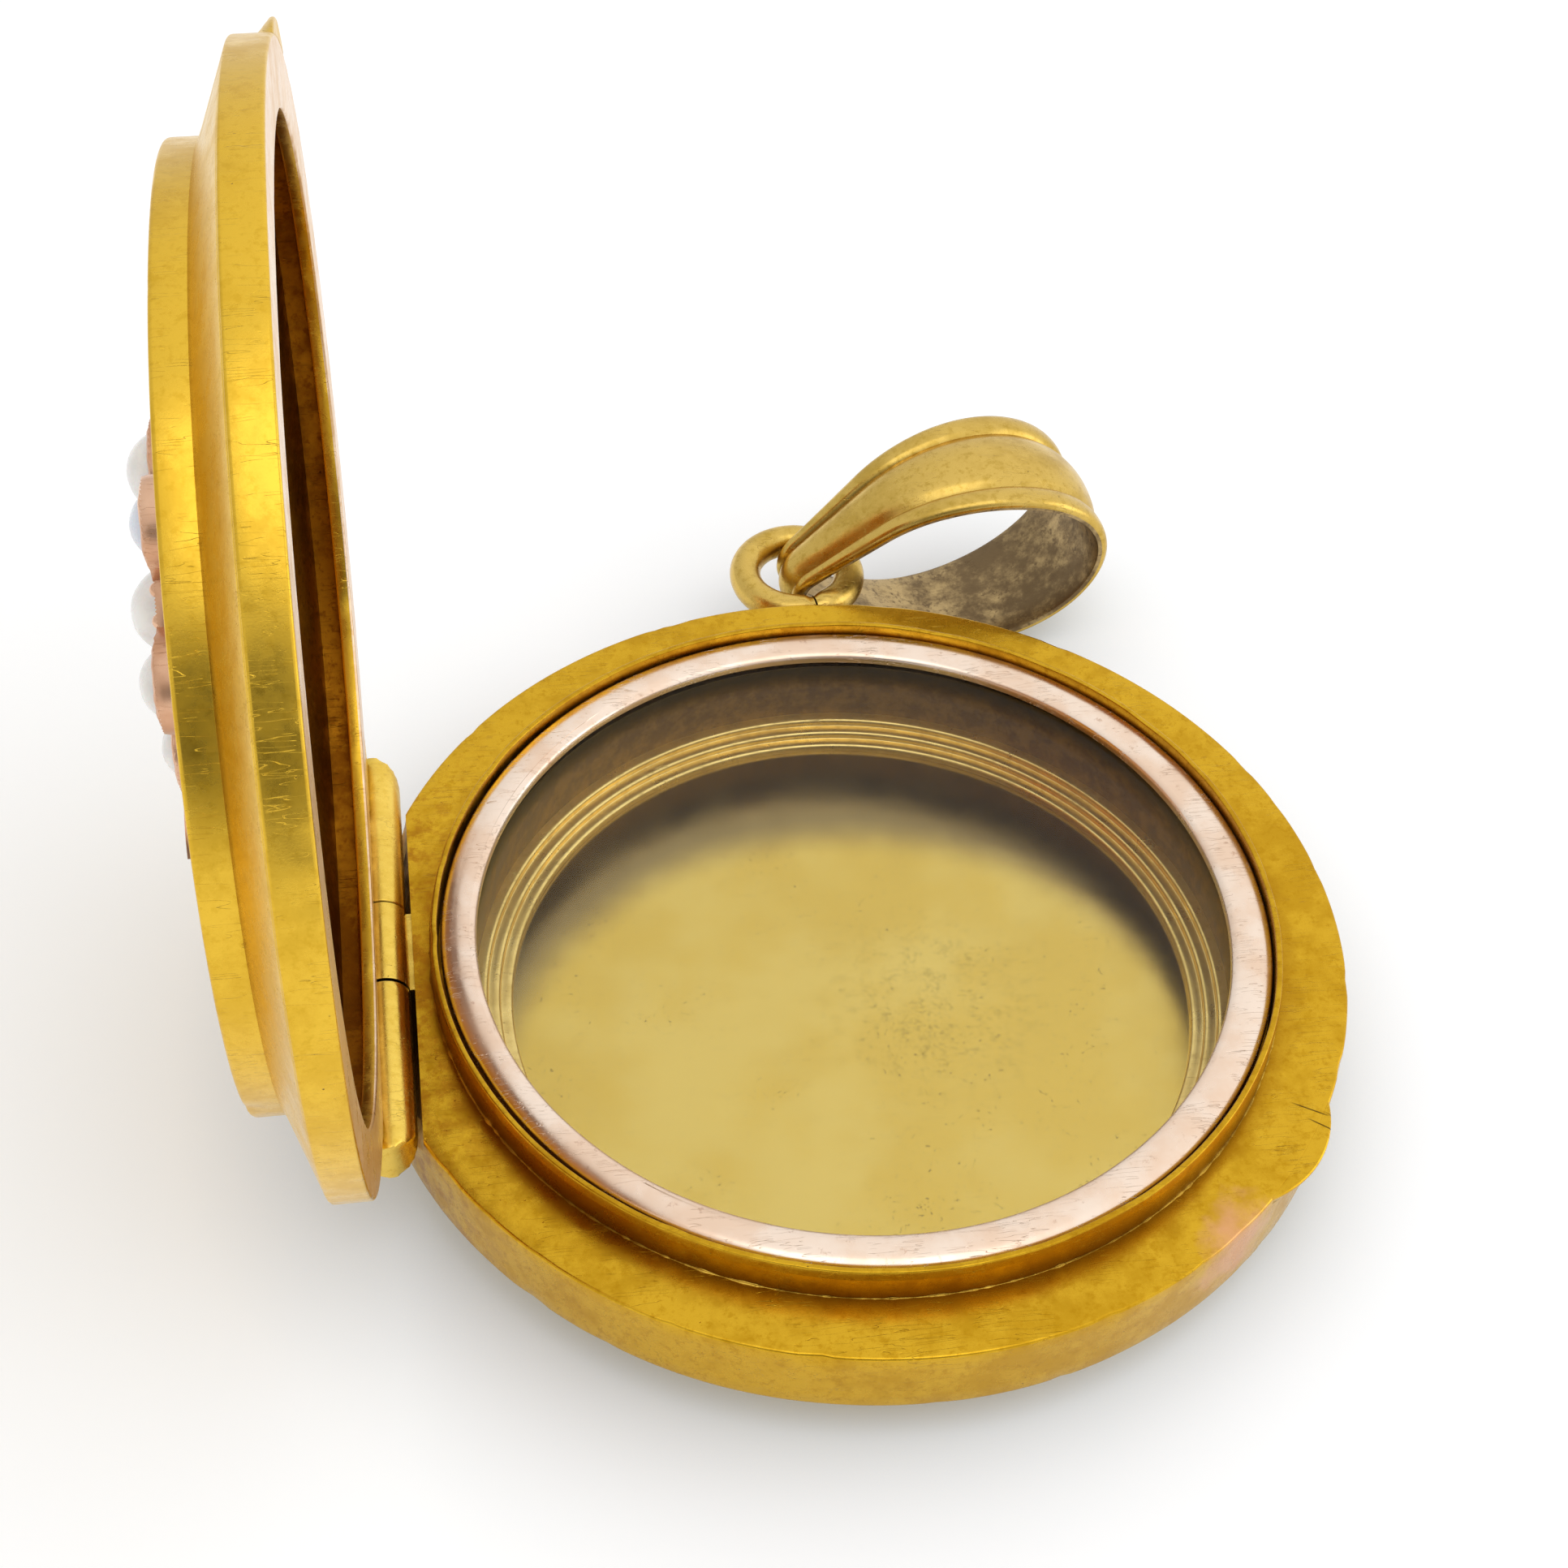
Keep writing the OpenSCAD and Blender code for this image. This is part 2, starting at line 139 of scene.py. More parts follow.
def lathe(name, outline, centre=(0, 0), steps=STEPS):
    """Mesh object turned from a closed outline about a vertical line through centre."""
    bm = bmesh.new()
    rings = []
    for k in range(steps):
        a = 2 * math.pi * k / steps
        rings.append([
            bm.verts.new((centre[0] + r * math.cos(a), centre[1] + r * math.sin(a), z))
            for r, z, _ in outline
        ])
    for k in range(steps):
        here, there = rings[k], rings[(k + 1) % steps]
        for i in range(len(outline)):
            j = (i + 1) % len(outline)
            if outline[i][0] < 1e-6 and outline[j][0] < 1e-6:
                continue
            face = bm.faces.new((here[i], here[j], there[j], there[i]))
            face.material_index = outline[i][2]
    bmesh.ops.remove_doubles(bm, verts=bm.verts, dist=1e-5)
    bmesh.ops.recalc_face_normals(bm, faces=bm.faces)
    return from_bmesh(name, bm)


def from_bmesh(name, bm):
    """Object from a bmesh, which is freed."""
    mesh = bpy.data.meshes.new(name)
    bm.to_mesh(mesh)
    bm.free()
    obj = bpy.data.objects.new(name, mesh)
    bpy.context.scene.collection.objects.link(obj)
    return obj


def sweep(name, sections, closed=True):
    """Mesh object through a list of sections, each a list of points. Ends are capped
    unless the sections close on themselves."""
    bm = bmesh.new()
    rings = [[bm.verts.new(p) for p in section] for section in sections]
    count = len(sections[0])
    for k in range(len(rings) if closed else len(rings) - 1):
        here, there = rings[k], rings[(k + 1) % len(rings)]
        for i in range(count):
            j = (i + 1) % count
            bm.faces.new((here[i], here[j], there[j], there[i]))
    if not closed:
        bm.faces.new(rings[0])
        bm.faces.new(list(reversed(rings[-1])))
    bmesh.ops.recalc_face_normals(bm, faces=bm.faces)
    return from_bmesh(name, bm)


def bend(obj, offset):
    """Moves every vertex by offset(point), all in millimetres."""
    for v in obj.data.vertices:
        v.co += offset(v.co)
    return obj


def handmade(p):
    """Slow unevenness of hand-raised sheet, the same for all pieces that touch."""
    slow = noise.noise_vector(p * 0.13) * 0.03
    quick = noise.noise_vector(p * 0.55 + Vector((7, 3, 1))) * 0.004
    total = slow + quick
    total.z *= 0.35
    return total


def boolean(obj, cutter, operation="DIFFERENCE"):
    """Applies a boolean and removes the cutter."""
    mod = obj.modifiers.new("cut", "BOOLEAN")
    mod.operation = operation
    mod.solver = "EXACT"
    mod.object = cutter
    apply_modifiers(obj)
    bpy.data.objects.remove(cutter)
    return obj


def apply_modifiers(obj):
    """Replaces the mesh by its evaluated one."""
    bpy.context.view_layer.update()
    depsgraph = bpy.context.evaluated_depsgraph_get()
    mesh = bpy.data.meshes.new_from_object(obj.evaluated_get(depsgraph))
    obj.modifiers.clear()
    obj.data = mesh
    return obj


def block(low, high):
    """Plain cutting block between two corners."""
    bm = bmesh.new()
    bmesh.ops.create_cube(bm, size=1)
    size = Vector(high) - Vector(low)
    middle = (Vector(high) + Vector(low)) / 2
    for v in bm.verts:
        v.co = Vector([v.co[k] * size[k] + middle[k] for k in range(3)])
    return from_bmesh("cutter", bm)


def hinge_rod(radius, y0, y1, steps=64):
    """Plain cutting rod along the hinge line."""
    sections = [
        [(HINGE.x + radius * math.cos(a), y, HINGE.z + radius * math.sin(a))
         for a in (2 * math.pi * k / steps for k in range(steps))]
        for y in (y0, y1)
    ]
    return sweep("cutter", sections, closed=False)


def finish(obj, body, slot, materials, *nodes, pose=Matrix(), sharp=32):
    """Turns a drawn piece into metres and into its pose, and ties it to the frame."""
    obj.data.transform(Matrix.Scale(MM, 4) @ pose)
    indices = [polygon.material_index for polygon in obj.data.polygons]
    obj.data.materials.clear()
    for material in materials:
        obj.data.materials.append(material)
    obj.data.polygons.foreach_set("material_index", indices)
    obj.data.shade_smooth()
    obj.data.set_sharp_from_angle(angle=math.radians(sharp))
    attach(obj, body)
    if nodes:
        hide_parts(*nodes)
    return obj


# ------------------------------------------------------------------ shader helpers


class Shader:
    """Small builder for one material's node tree. Colours are linear RGB."""

    def __init__(self, name):
        self.material = bpy.data.materials.new(name)
        self.material.use_nodes = True
        self.tree = self.material.node_tree
        self.bsdf = self.tree.nodes["Principled BSDF"]
        coord = self.tree.nodes.new("ShaderNodeTexCoord")
        self.mm = self.vector("SCALE", coord.outputs["Object"], scale=1 / MM)

    def link(self, value, socket):
        if isinstance(value, bpy.types.NodeSocket):
            self.tree.links.new(value, socket)
        else:
            socket.default_value = value

    def vector(self, operation, a, b=None, scale=None):
        n = self.tree.nodes.new("ShaderNodeVectorMath")
        n.operation = operation
        self.link(a, n.inputs[0])
        if b is not None:
            self.link(b, n.inputs[1])
        if scale is not None:
            self.link(scale, n.inputs["Scale"])
        return n.outputs["Value" if operation in ("LENGTH", "DOT_PRODUCT") else "Vector"]

    def math(self, operation, a, b=0.0, clamp=False):
        n = self.tree.nodes.new("ShaderNodeMath")
        n.operation = operation
        n.use_clamp = clamp
        self.link(a, n.inputs[0])
        self.link(b, n.inputs[1])
        return n.outputs[0]

    def remap(self, value, a, b, to_a=0.0, to_b=1.0, smooth=True):
        n = self.tree.nodes.new("ShaderNodeMapRange")
        n.interpolation_type = "SMOOTHSTEP" if smooth else "LINEAR"
        for key, v in zip(("Value", "From Min", "From Max", "To Min", "To Max"),
                          (value, a, b, to_a, to_b)):
            self.link(v, n.inputs[key])
        return n.outputs["Result"]

    def noise(self, scale, detail=4.0, rough=0.55, stretch=None, turn=(0, 0, 0), warp=0.0):
        coord = self.mm
        if stretch:
            n = self.tree.nodes.new("ShaderNodeMapping")
            self.link(self.mm, n.inputs["Vector"])
            n.inputs["Rotation"].default_value = [math.radians(t) for t in turn]
            n.inputs["Scale"].default_value = stretch
            coord = n.outputs["Vector"]
        n = self.tree.nodes.new("ShaderNodeTexNoise")
        self.link(coord, n.inputs["Vector"])
        n.inputs["Scale"].default_value = scale
        n.inputs["Detail"].default_value = detail
        n.inputs["Roughness"].default_value = rough
        n.inputs["Distortion"].default_value = warp
        return n.outputs["Fac"]

    def cells(self, scale, stretch=None):
        coord = self.mm
        if stretch:
            coord = self.vector("MULTIPLY", self.mm, stretch)
        n = self.tree.nodes.new("ShaderNodeTexVoronoi")
        self.link(coord, n.inputs["Vector"])
        n.inputs["Scale"].default_value = scale
        return n.outputs["Distance"]

    def mix(self, factor, a, b, blend="MIX"):
        n = self.tree.nodes.new("ShaderNodeMix")
        n.data_type = "RGBA"
        n.blend_type = blend
        n.clamp_factor = True
        self.link(factor, n.inputs[0])
        for value, socket in ((a, n.inputs[6]), (b, n.inputs[7])):
            self.link(value if isinstance(value, bpy.types.NodeSocket) else (*value, 1), socket)
        return n.outputs[2]

    def bump(self, height, microns, normal=None):
        n = self.tree.nodes.new("ShaderNodeBump")
        n.inputs["Distance"].default_value = microns * 1e-6
        self.link(height, n.inputs["Height"])
        if normal is not None:
            self.link(normal, n.inputs["Normal"])
        return n.outputs["Normal"]

    def radius(self, centre=(0, 0)):
        """Distance from a vertical line in millimetres."""
        flat = self.vector("MULTIPLY", self.mm, (1, 1, 0))
        return self.vector("LENGTH", self.vector("SUBTRACT", flat, (*centre, 0)))

    def axis(self, k):
        n = self.tree.nodes.new("ShaderNodeSeparateXYZ")
        self.link(self.mm, n.inputs[0])
        return n.outputs[k]

    def crevice(self, distance_mm):
        """1 deep in a corner, 0 in the open."""
        n = self.tree.nodes.new("ShaderNodeAmbientOcclusion")
        n.samples = 6
        n.inputs["Distance"].default_value = distance_mm * MM
        return self.math("SUBTRACT", 1.0, n.outputs["AO"])

    def scratches(self, density, width, mask_scale=0.5, turns=(12, 67, 131)):
        """Hairlines: thin level lines of stretched noise, broken up by a coarser one."""
        total = None
        for turn in turns:
            lines = self.noise(density, 2.0, 0.5, stretch=(0.12, 1.6, 1.1),
                               turn=(turn * 0.7, turn * 0.3, turn))
            near = self.math("ABSOLUTE", self.math("SUBTRACT", lines, 0.5))
            thin = self.remap(near, 0.0, width, 1.0, 0.0)
            broken = self.remap(self.noise(mask_scale, 3.0, stretch=(1, 1, 1),
                                           turn=(0, 0, turn)), 0.52, 0.6)
            part = self.math("MULTIPLY", thin, broken)
            total = part if total is None else self.math("MAXIMUM", total, part)
        return total

    def pits(self, scale, size, share):
        """Small round marks in the given share of patches."""
        dots = self.remap(self.cells(scale), size * 0.4, size, 1.0, 0.0)
        return self.math("MULTIPLY", dots,
                         self.remap(self.noise(0.35, 3.0), 1 - share, 1.06 - share))


def gold(name, bright=(0.80, 0.50, 0.048), deep=(0.60, 0.34, 0.016), tarnish=0.4, rough=0.25,
         grain=1.6, dirt=0.4, extra=None):
    """Worn satin gold: warm blotches, dirt in corners, grain, hairlines and pits.
    extra(shader, colour) may repaint the colour and returns it."""
    s = Shader(name)
    broad = s.noise(0.16, 3.0, 0.6)
    blotch = s.noise(0.9, 6.0, 0.68, stretch=(1, 1, 1))
    fine = s.noise(11.0, 4.0, 0.6)
    warm = s.remap(s.math("ADD", s.math("MULTIPLY", broad, 0.5),
                          s.math("MULTIPLY", blotch, 0.5)), 0.44, 0.60)
    colour = s.mix(s.math("MULTIPLY", warm, tarnish), bright, deep)
    colour = s.mix(s.remap(fine, 0.55, 0.8, 0.0, 0.25), colour, deep)
    mottle = s.remap(s.noise(3.4, 5.0, 0.7), 0.50, 0.66, 0.0, tarnish)
    colour = s.mix(mottle, colour, deep)
    corner = s.crevice(0.4)
    soiled = s.math("MULTIPLY", s.remap(corner, 0.25, 0.95),
                    s.remap(blotch, 0.3, 0.62, 0.35, 1.0))
    colour = s.mix(s.math("MULTIPLY", soiled, dirt), colour, (0.20, 0.09, 0.008))
    if extra:
        colour = extra(s, colour)
    pits = s.pits(2.3, 0.085, 0.42)
    colour = s.mix(s.math("MULTIPLY", pits, 0.75), colour, (0.09, 0.04, 0.01))
    lines = s.scratches(2.2, 0.0045)
    colour = s.mix(s.math("MULTIPLY", lines, 0.25), colour, (0.25, 0.12, 0.02))
    s.link(colour, s.bsdf.inputs["Base Color"])
    s.bsdf.inputs["Metallic"].default_value = 1.0
    roughness = s.math("ADD", s.remap(blotch, 0.3, 0.7, rough - 0.05, rough + 0.09),
                       s.math("MULTIPLY", soiled, 0.2))
    s.link(roughness, s.bsdf.inputs["Roughness"])
    waves = s.bump(s.noise(0.5, 2.0), 9.0)
    grainy = s.bump(s.noise(17.0, 3.0, 0.6), grain, waves)
    marks = s.math("SUBTRACT", 1.0, s.math("MAXIMUM", pits, s.math("MULTIPLY", lines, 0.4)))
    s.link(s.bump(marks, 16.0, grainy), s.bsdf.inputs["Normal"])
    return s.material


# Short cuts in the flange near the thumb lip: place and direction.
KNIFE_MARKS = (((13.3, -9.2), -38), ((13.0, -8.5), -31), ((13.9, -9.1), -44))


def collar_patina(s, colour):
    """Brown shading up the collar from its foot."""
    height = s.math("ADD", s.math("SUBTRACT", s.axis(2), BODY_H),
                    s.math("MULTIPLY", s.noise(0.8, 4.0, 0.65), 0.5))
    return s.mix(s.remap(height, 0.25, 1.35, 0.9, 0.0), colour, (0.17, 0.075, 0.004))


def flange_patina_and_dark_reflection(s, colour):
    """Orange patina round the collar's foot, a painted dark reflection on the hinge side, and a
    pink worn patch.
    """
    centre = ((COLLAR_LO + COLLAR_HI) / 2).xy
    foot = (COLLAR_HI.x - COLLAR_LO.x) / 2
    r = s.radius(centre)
    ragged = s.noise(0.7, 5.0, 0.65)
    reach = s.remap(ragged, 0.3, 0.7, 0.25, 1.5, smooth=False)
    near = s.math("SUBTRACT", 1.0, s.math("DIVIDE", s.math("SUBTRACT", r, foot), reach),
                  clamp=True)
    colour = s.mix(s.math("MULTIPLY", near, 0.65), colour, (0.34, 0.14, 0.003))
    # Painted dark reflection: the flange turns brown towards the hinge side, broken up by noise.
    painted_reflection_side = s.remap(s.axis(0), -11.0, -15.5, 0.0, 0.75)
    brown = s.math("MULTIPLY", painted_reflection_side, s.remap(s.noise(1.3, 5.0, 0.7), 0.45, 0.62))
    colour = s.mix(brown, colour, (0.36, 0.12, 0.006))
    patch = s.vector("LENGTH", s.vector("SUBTRACT", s.mm, (9.7, -12.8, BODY_H - 0.9)))
    worn = s.math("ADD", patch, s.math("MULTIPLY", s.noise(1.1, 3.0), 2.2))
    colour = s.mix(s.remap(worn, 1.7, 3.1, 0.72, 0.0), colour, (0.80, 0.40, 0.22))
    for place, turn in KNIFE_MARKS:
        colour = s.mix(knife_mark(s, place, turn), colour, (0.06, 0.03, 0.008))
    return colour


def knife_mark(s, place, turn, half_length=0.75, half_width=0.035):
    """1 along a short cut in the flange, 0 elsewhere."""
    a = math.radians(turn)
    off = s.vector("SUBTRACT", s.mm, (*place, BODY_H))
    along = s.math("ABSOLUTE", s.vector("DOT_PRODUCT", off, (math.cos(a), math.sin(a), 0)))
    aside = s.math("ABSOLUTE", s.vector("DOT_PRODUCT", off, (-math.sin(a), math.cos(a), 0)))
    return s.math("MULTIPLY", s.remap(along, half_length * 0.4, half_length, 1.0, 0.0),
                  s.remap(aside, half_width * 0.4, half_width, 0.85, 0.0))


def rose_gold(name, light=(0.92, 0.76, 0.63), dark=(0.86, 0.64, 0.48), rough=0.22):
    """Polished rose gold with faint cross marks."""
    s = Shader(name)
    tone = s.noise(0.5, 4.0)
    colour = s.mix(s.remap(tone, 0.35, 0.65), light, dark)
    stain = s.remap(s.noise(2.2, 6.0, 0.7), 0.60, 0.72, 0.0, 0.45)
    colour = s.mix(stain, colour, (0.42, 0.2, 0.1))
    soiled = s.remap(s.crevice(0.35), 0.3, 0.95, 0.0, 0.6)
    colour = s.mix(soiled, colour, (0.22, 0.08, 0.03))
    s.link(colour, s.bsdf.inputs["Base Color"])
    s.bsdf.inputs["Metallic"].default_value = 1.0
    lines = s.scratches(3.0, 0.006, 0.8)
    s.link(s.math("ADD", s.remap(tone, 0.3, 0.7, rough, rough + 0.1),
                  s.math("MULTIPLY", lines, 0.15)), s.bsdf.inputs["Roughness"])
    s.link(s.bump(s.math("SUBTRACT", 1.0, lines), 9.0, s.bump(s.noise(0.9, 2.0), 12.0)),
           s.bsdf.inputs["Normal"])
    return s.material


def well_floor(name):
    """Pale satin floor of the picture well, stained and finely scratched, with painted shade
    along its far edge.
    """
    s = Shader(name)
    broad = s.noise(0.22, 4.0)
    colour = s.mix(s.remap(broad, 0.35, 0.65), (0.80, 0.60, 0.17), (0.76, 0.54, 0.12))
    spot = s.remap(s.radius((2.6, -0.9)), 1.2, 5.4, 1.0, 0.0)
    cloudy = s.remap(s.noise(1.6, 8.0, 0.75), 0.44, 0.70)
    grainy = s.remap(s.noise(7.0, 3.0, 0.7), 0.38, 0.62)
    stain = s.math("MULTIPLY", s.math("MULTIPLY", cloudy, grainy), spot)
    colour = s.mix(s.math("MULTIPLY", stain, 0.6), colour, (0.33, 0.25, 0.06))
    # Painted shade: a dark crescent along the floor's far edge, next to the well's wall.
    painted_edge_shade = s.math("ADD", s.radius((-0.3, -5.2)), s.math("MULTIPLY", broad, 1.2))
    colour = s.mix(s.remap(painted_edge_shade, 11.9, 13.8, 0.0, 0.9), colour, (0.31, 0.23, 0.11))
    specks = s.math("MULTIPLY", s.remap(s.noise(6.5, 3.0, 0.7), 0.60, 0.68),
                    s.remap(s.noise(0.4, 4.0), 0.46, 0.6))
    colour = s.mix(s.math("MULTIPLY", specks, 0.55), colour, (0.25, 0.17, 0.05))
    lines = s.scratches(3.2, 0.004, 0.6, (5, 48, 95, 150))
    colour = s.mix(s.math("MULTIPLY", lines, 0.4), colour, (0.45, 0.33, 0.1))
    s.link(colour, s.bsdf.inputs["Base Color"])
    s.bsdf.inputs["Metallic"].default_value = 1.0
    s.link(s.remap(s.noise(0.5, 4.0), 0.3, 0.7, 0.2, 0.27), s.bsdf.inputs["Roughness"])
    s.link(s.bump(s.noise(9.0, 4.0, 0.6), 1.5, s.bump(s.noise(0.4, 2.0), 10.0)),
           s.bsdf.inputs["Normal"])
    return s.material


def well_side(name):
    """Dark brown wall of the picture well, with a painted shadow just under the glass."""
    s = Shader(name)
    tone = s.noise(1.2, 6.0, 0.7)
    colour = s.mix(s.remap(tone, 0.4, 0.65), (0.20, 0.13, 0.06), (0.34, 0.22, 0.08))
    # Painted shadow: the wall turns near black just under the crystal, where the bezel shades
    # it.
    painted_bezel_shadow = s.remap(s.axis(2), CRYSTAL_LO.z - 1.1, CRYSTAL_LO.z - 0.2, 0.0, 0.85)
    colour = s.mix(painted_bezel_shadow, colour, (0.05, 0.04, 0.012))
    s.link(colour, s.bsdf.inputs["Base Color"])
    s.bsdf.inputs["Metallic"].default_value = 0.85
    s.link(s.remap(tone, 0.3, 0.7, 0.4, 0.55), s.bsdf.inputs["Roughness"])
    s.link(s.bump(s.noise(8.0, 4.0), 6.0), s.bsdf.inputs["Normal"])
    return s.material


def pearl_lustre(name, tint):
    """Half pearl: soft nacre with a clear skin."""
    s = Shader(name)
    cloud = s.noise(1.4, 4.0, 0.6, stretch=(1, 1, 1))
    colour = s.mix(s.remap(cloud, 0.35, 0.65), tint, tuple(c * 0.86 for c in tint))
    rim = s.remap(s.crevice(0.3), 0.3, 0.9, 0.0, 0.7)
    colour = s.mix(rim, colour, (0.35, 0.22, 0.14))
    s.link(colour, s.bsdf.inputs["Base Color"])
    s.bsdf.inputs["Coat Weight"].default_value = 0.6
    s.bsdf.inputs["Coat Roughness"].default_value = 0.12
    s.bsdf.inputs["Sheen Weight"].default_value = 0.25
    s.bsdf.inputs["Subsurface Weight"].default_value = 0.2
    s.bsdf.inputs["Subsurface Scale"].default_value = 0.0004
    s.link(s.remap(cloud, 0.3, 0.7, 0.22, 0.34), s.bsdf.inputs["Roughness"])
    s.link(s.bump(s.noise(3.0, 3.0), 8.0), s.bsdf.inputs["Normal"])
    return s.material


def clear_glass(name):
    """Thin clear crystal: see-through with a weak mirror reflection and light dust."""
    s = Shader(name)
    tree = s.tree
    tree.nodes.remove(s.bsdf)
    out = next(n for n in tree.nodes if n.type == "OUTPUT_MATERIAL")
    through = tree.nodes.new("ShaderNodeBsdfTransparent")
    s.link(s.mix(s.noise(0.4, 2.0), (0.97, 0.97, 0.955), (0.955, 0.955, 0.94)),
           through.inputs["Color"])
    mirror = tree.nodes.new("ShaderNodeBsdfGlossy")
    s.link(s.remap(s.noise(2.0, 5.0), 0.5, 0.8, 0.03, 0.12), mirror.inputs["Roughness"])
    graze = tree.nodes.new("ShaderNodeLayerWeight")
    graze.inputs["Blend"].default_value = 0.5
    share = s.math("POWER", graze.outputs["Facing"], 4.0)
    share = s.math("ADD", s.math("MULTIPLY", share, 0.6), 0.012)
    blend = tree.nodes.new("ShaderNodeMixShader")
    s.link(share, blend.inputs[0])
    s.link(through.outputs[0], blend.inputs[1])
    s.link(mirror.outputs[0], blend.inputs[2])
    s.link(blend.outputs[0], out.inputs["Surface"])
    return s.material


GOLD = gold("gold_satin")
GOLD_FLANGE = gold("gold_flange", bright=(0.68, 0.40, 0.024), deep=(0.49, 0.25, 0.006),
                   tarnish=0.6, extra=flange_patina_and_dark_reflection)
GOLD_COLLAR = gold("gold_collar", bright=(0.62, 0.36, 0.02), deep=(0.42, 0.20, 0.005),
                   tarnish=0.6, extra=collar_patina)
SOLDER = gold("gold_solder", bright=(0.62, 0.40, 0.06), deep=(0.22, 0.11, 0.01), tarnish=0.9,
              rough=0.34, dirt=0.9)
GOLD_HINGE = gold("gold_hinge", bright=(0.92, 0.64, 0.12), deep=(0.66, 0.40, 0.03),
                  tarnish=0.35, rough=0.24, grain=3.0, dirt=0.95)
# Painted shade: near-black gold in the trough under the barrel, besides its dirt in corners.
HINGE_TROUGH_PAINTED_SHADE = gold("gold_hinge_trough_painted_shade", bright=(0.30, 0.16, 0.02), deep=(0.10, 0.05, 0.006),
                    tarnish=0.9, rough=0.4, grain=4.0, dirt=0.95)
GOLD_INSIDE = gold("gold_inside", bright=(0.46, 0.20, 0.01), deep=(0.24, 0.08, 0.004),
                   tarnish=0.9, rough=0.36, grain=5.0, dirt=0.5)
GOLD_BAIL = gold("gold_bail", bright=(0.68, 0.46, 0.11), deep=(0.44, 0.27, 0.03),
                 tarnish=0.5, rough=0.26, dirt=0.9)
# Painted shade: a dark brown copy of the bail gold for the strip's inner face, which lies in
# shadow.
BAIL_PAINTED_SHADE = gold("gold_bail_painted_shade", bright=(0.52, 0.37, 0.17), deep=(0.18, 0.12, 0.06),
                   tarnish=0.95, rough=0.36, grain=5.0)
PINK_WORN = gold("gold_pink_worn", bright=(0.88, 0.66, 0.46), deep=(0.70, 0.42, 0.16),
                 tarnish=0.6, rough=0.3, dirt=0.2)
ROSE = rose_gold("rose_gold")
ROSE_DEEP = rose_gold("rose_gold_plaque", (0.80, 0.50, 0.33), (0.62, 0.33, 0.19))
WELL_FLOOR = well_floor("floor_gold")
WELL_SIDE = well_side("well_brown")
# Painted highlight: the steps' gold is made paler and brighter than the other gold so the rim's
# bands shine.
STEP_GOLD_PAINTED_BRIGHT = gold("gold_steps_painted_highlight", bright=(0.95, 0.72, 0.27), deep=(0.72, 0.50, 0.14), tarnish=0.4,
                 rough=0.3, dirt=0.1)
PEARL = pearl_lustre("half_pearl", (0.90, 0.86, 0.80))
PEARL_COOL = pearl_lustre("half_pearl_cool", (0.72, 0.75, 0.82))
GLASS = clear_glass("crystal_glass")

# ------------------------------------------------------------------ case body

GUTTER_R = 0.95                 # trough under the barrel
CHORD_X = HINGE.x + GUTTER_R    # straight edge of the flange at the hinge
LOOP_CENTRE = (LOOP_LO + LOOP_HI) / 2


def gutter_cut(obj):
    """Takes the hinge trough out of a body piece."""
    boolean(obj, hinge_rod(GUTTER_R, -CASE_R, CASE_R))
    low = (-CASE_R - 2, -CASE_R, HINGE.z)
    return boolean(obj, block(low, (CHORD_X, CASE_R, BODY_H + 2)))


def nicks(count, radius, height, depth=0.05, seed=1):
    """Small dents along a round edge: offset function for bend()."""
    dice = random.Random(seed)
    dents = []
    for _ in range(count):
        a = dice.uniform(0, 2 * math.pi)
        dents.append((Vector((radius * math.cos(a), radius * math.sin(a), height)),
                      dice.uniform(0.12, 0.4), dice.uniform(0.3, 1.0) * depth))

    def offset(p):
        move = Vector((0, 0, 0))
        for place, reach, deep in dents:
            d = (p - place).length
            if d < 3 * reach:
                inward = Vector((-place.x, -place.y, 0)).normalized()
                move += inward * deep * math.exp(-((d / reach) ** 2))
        return move

    return offset


def make_body():
    soft = 0.1
    rim = lathe("body_rim", softened([
        (WALL_OUT, BODY_H - SHEET, 0, 0), (WALL_OUT, BODY_H, 0, 0),
        (CASE_R, BODY_H, soft, 0), (CASE_R, BAND_Z, 0.16, 0),
        (CASE_R - SHEET, BAND_Z, 0, 0), (CASE_R - SHEET, BODY_H - SHEET, 0, 0)]))
    bend(rim, handmade)
    bend(rim, nicks(26, CASE_R, BODY_H, 0.06, 3))
    bend(rim, nicks(30, CASE_R, BAND_Z, 0.07, 5))
    gutter_cut(rim)
    finish(rim, "case_body", "gold_satin", [GOLD_FLANGE], "body_flange", "body_band")

    ledge = lathe("body_ledge_ring", softened([
        (CASE_R - 0.02, BAND_Z, 0.05, 0), (FACE_R + 0.35, LOW_Z + 0.28, 0.6, 0),
        (FACE_R, LOW_Z, 0.05, 0), (FACE_R - SHEET, LOW_Z, 0, 0),
        (FACE_R - SHEET, LOW_Z + 0.4, 0, 0), (CASE_R - SHEET, BAND_Z, 0, 0)]))
    finish(bend(ledge, handmade), "case_body", "gold_satin", [GOLD], "body_ledge")

    foot = lathe("body_back", softened([
        (0, 0, 0, 0), (FACE_R, 0, 0.18, 0), (FACE_R, LOW_Z + 0.02, 0.04, 0),
        (FACE_R - SHEET, LOW_Z + 0.02, 0, 0), (FACE_R - SHEET, BACK_T, 0, 0),
        (0, BACK_T, 0, 0)], 0.9))
    finish(foot, "case_body", "gold_satin", [GOLD], "back_plate", "body_lower_band")


COLLAR_WALL = 0.24


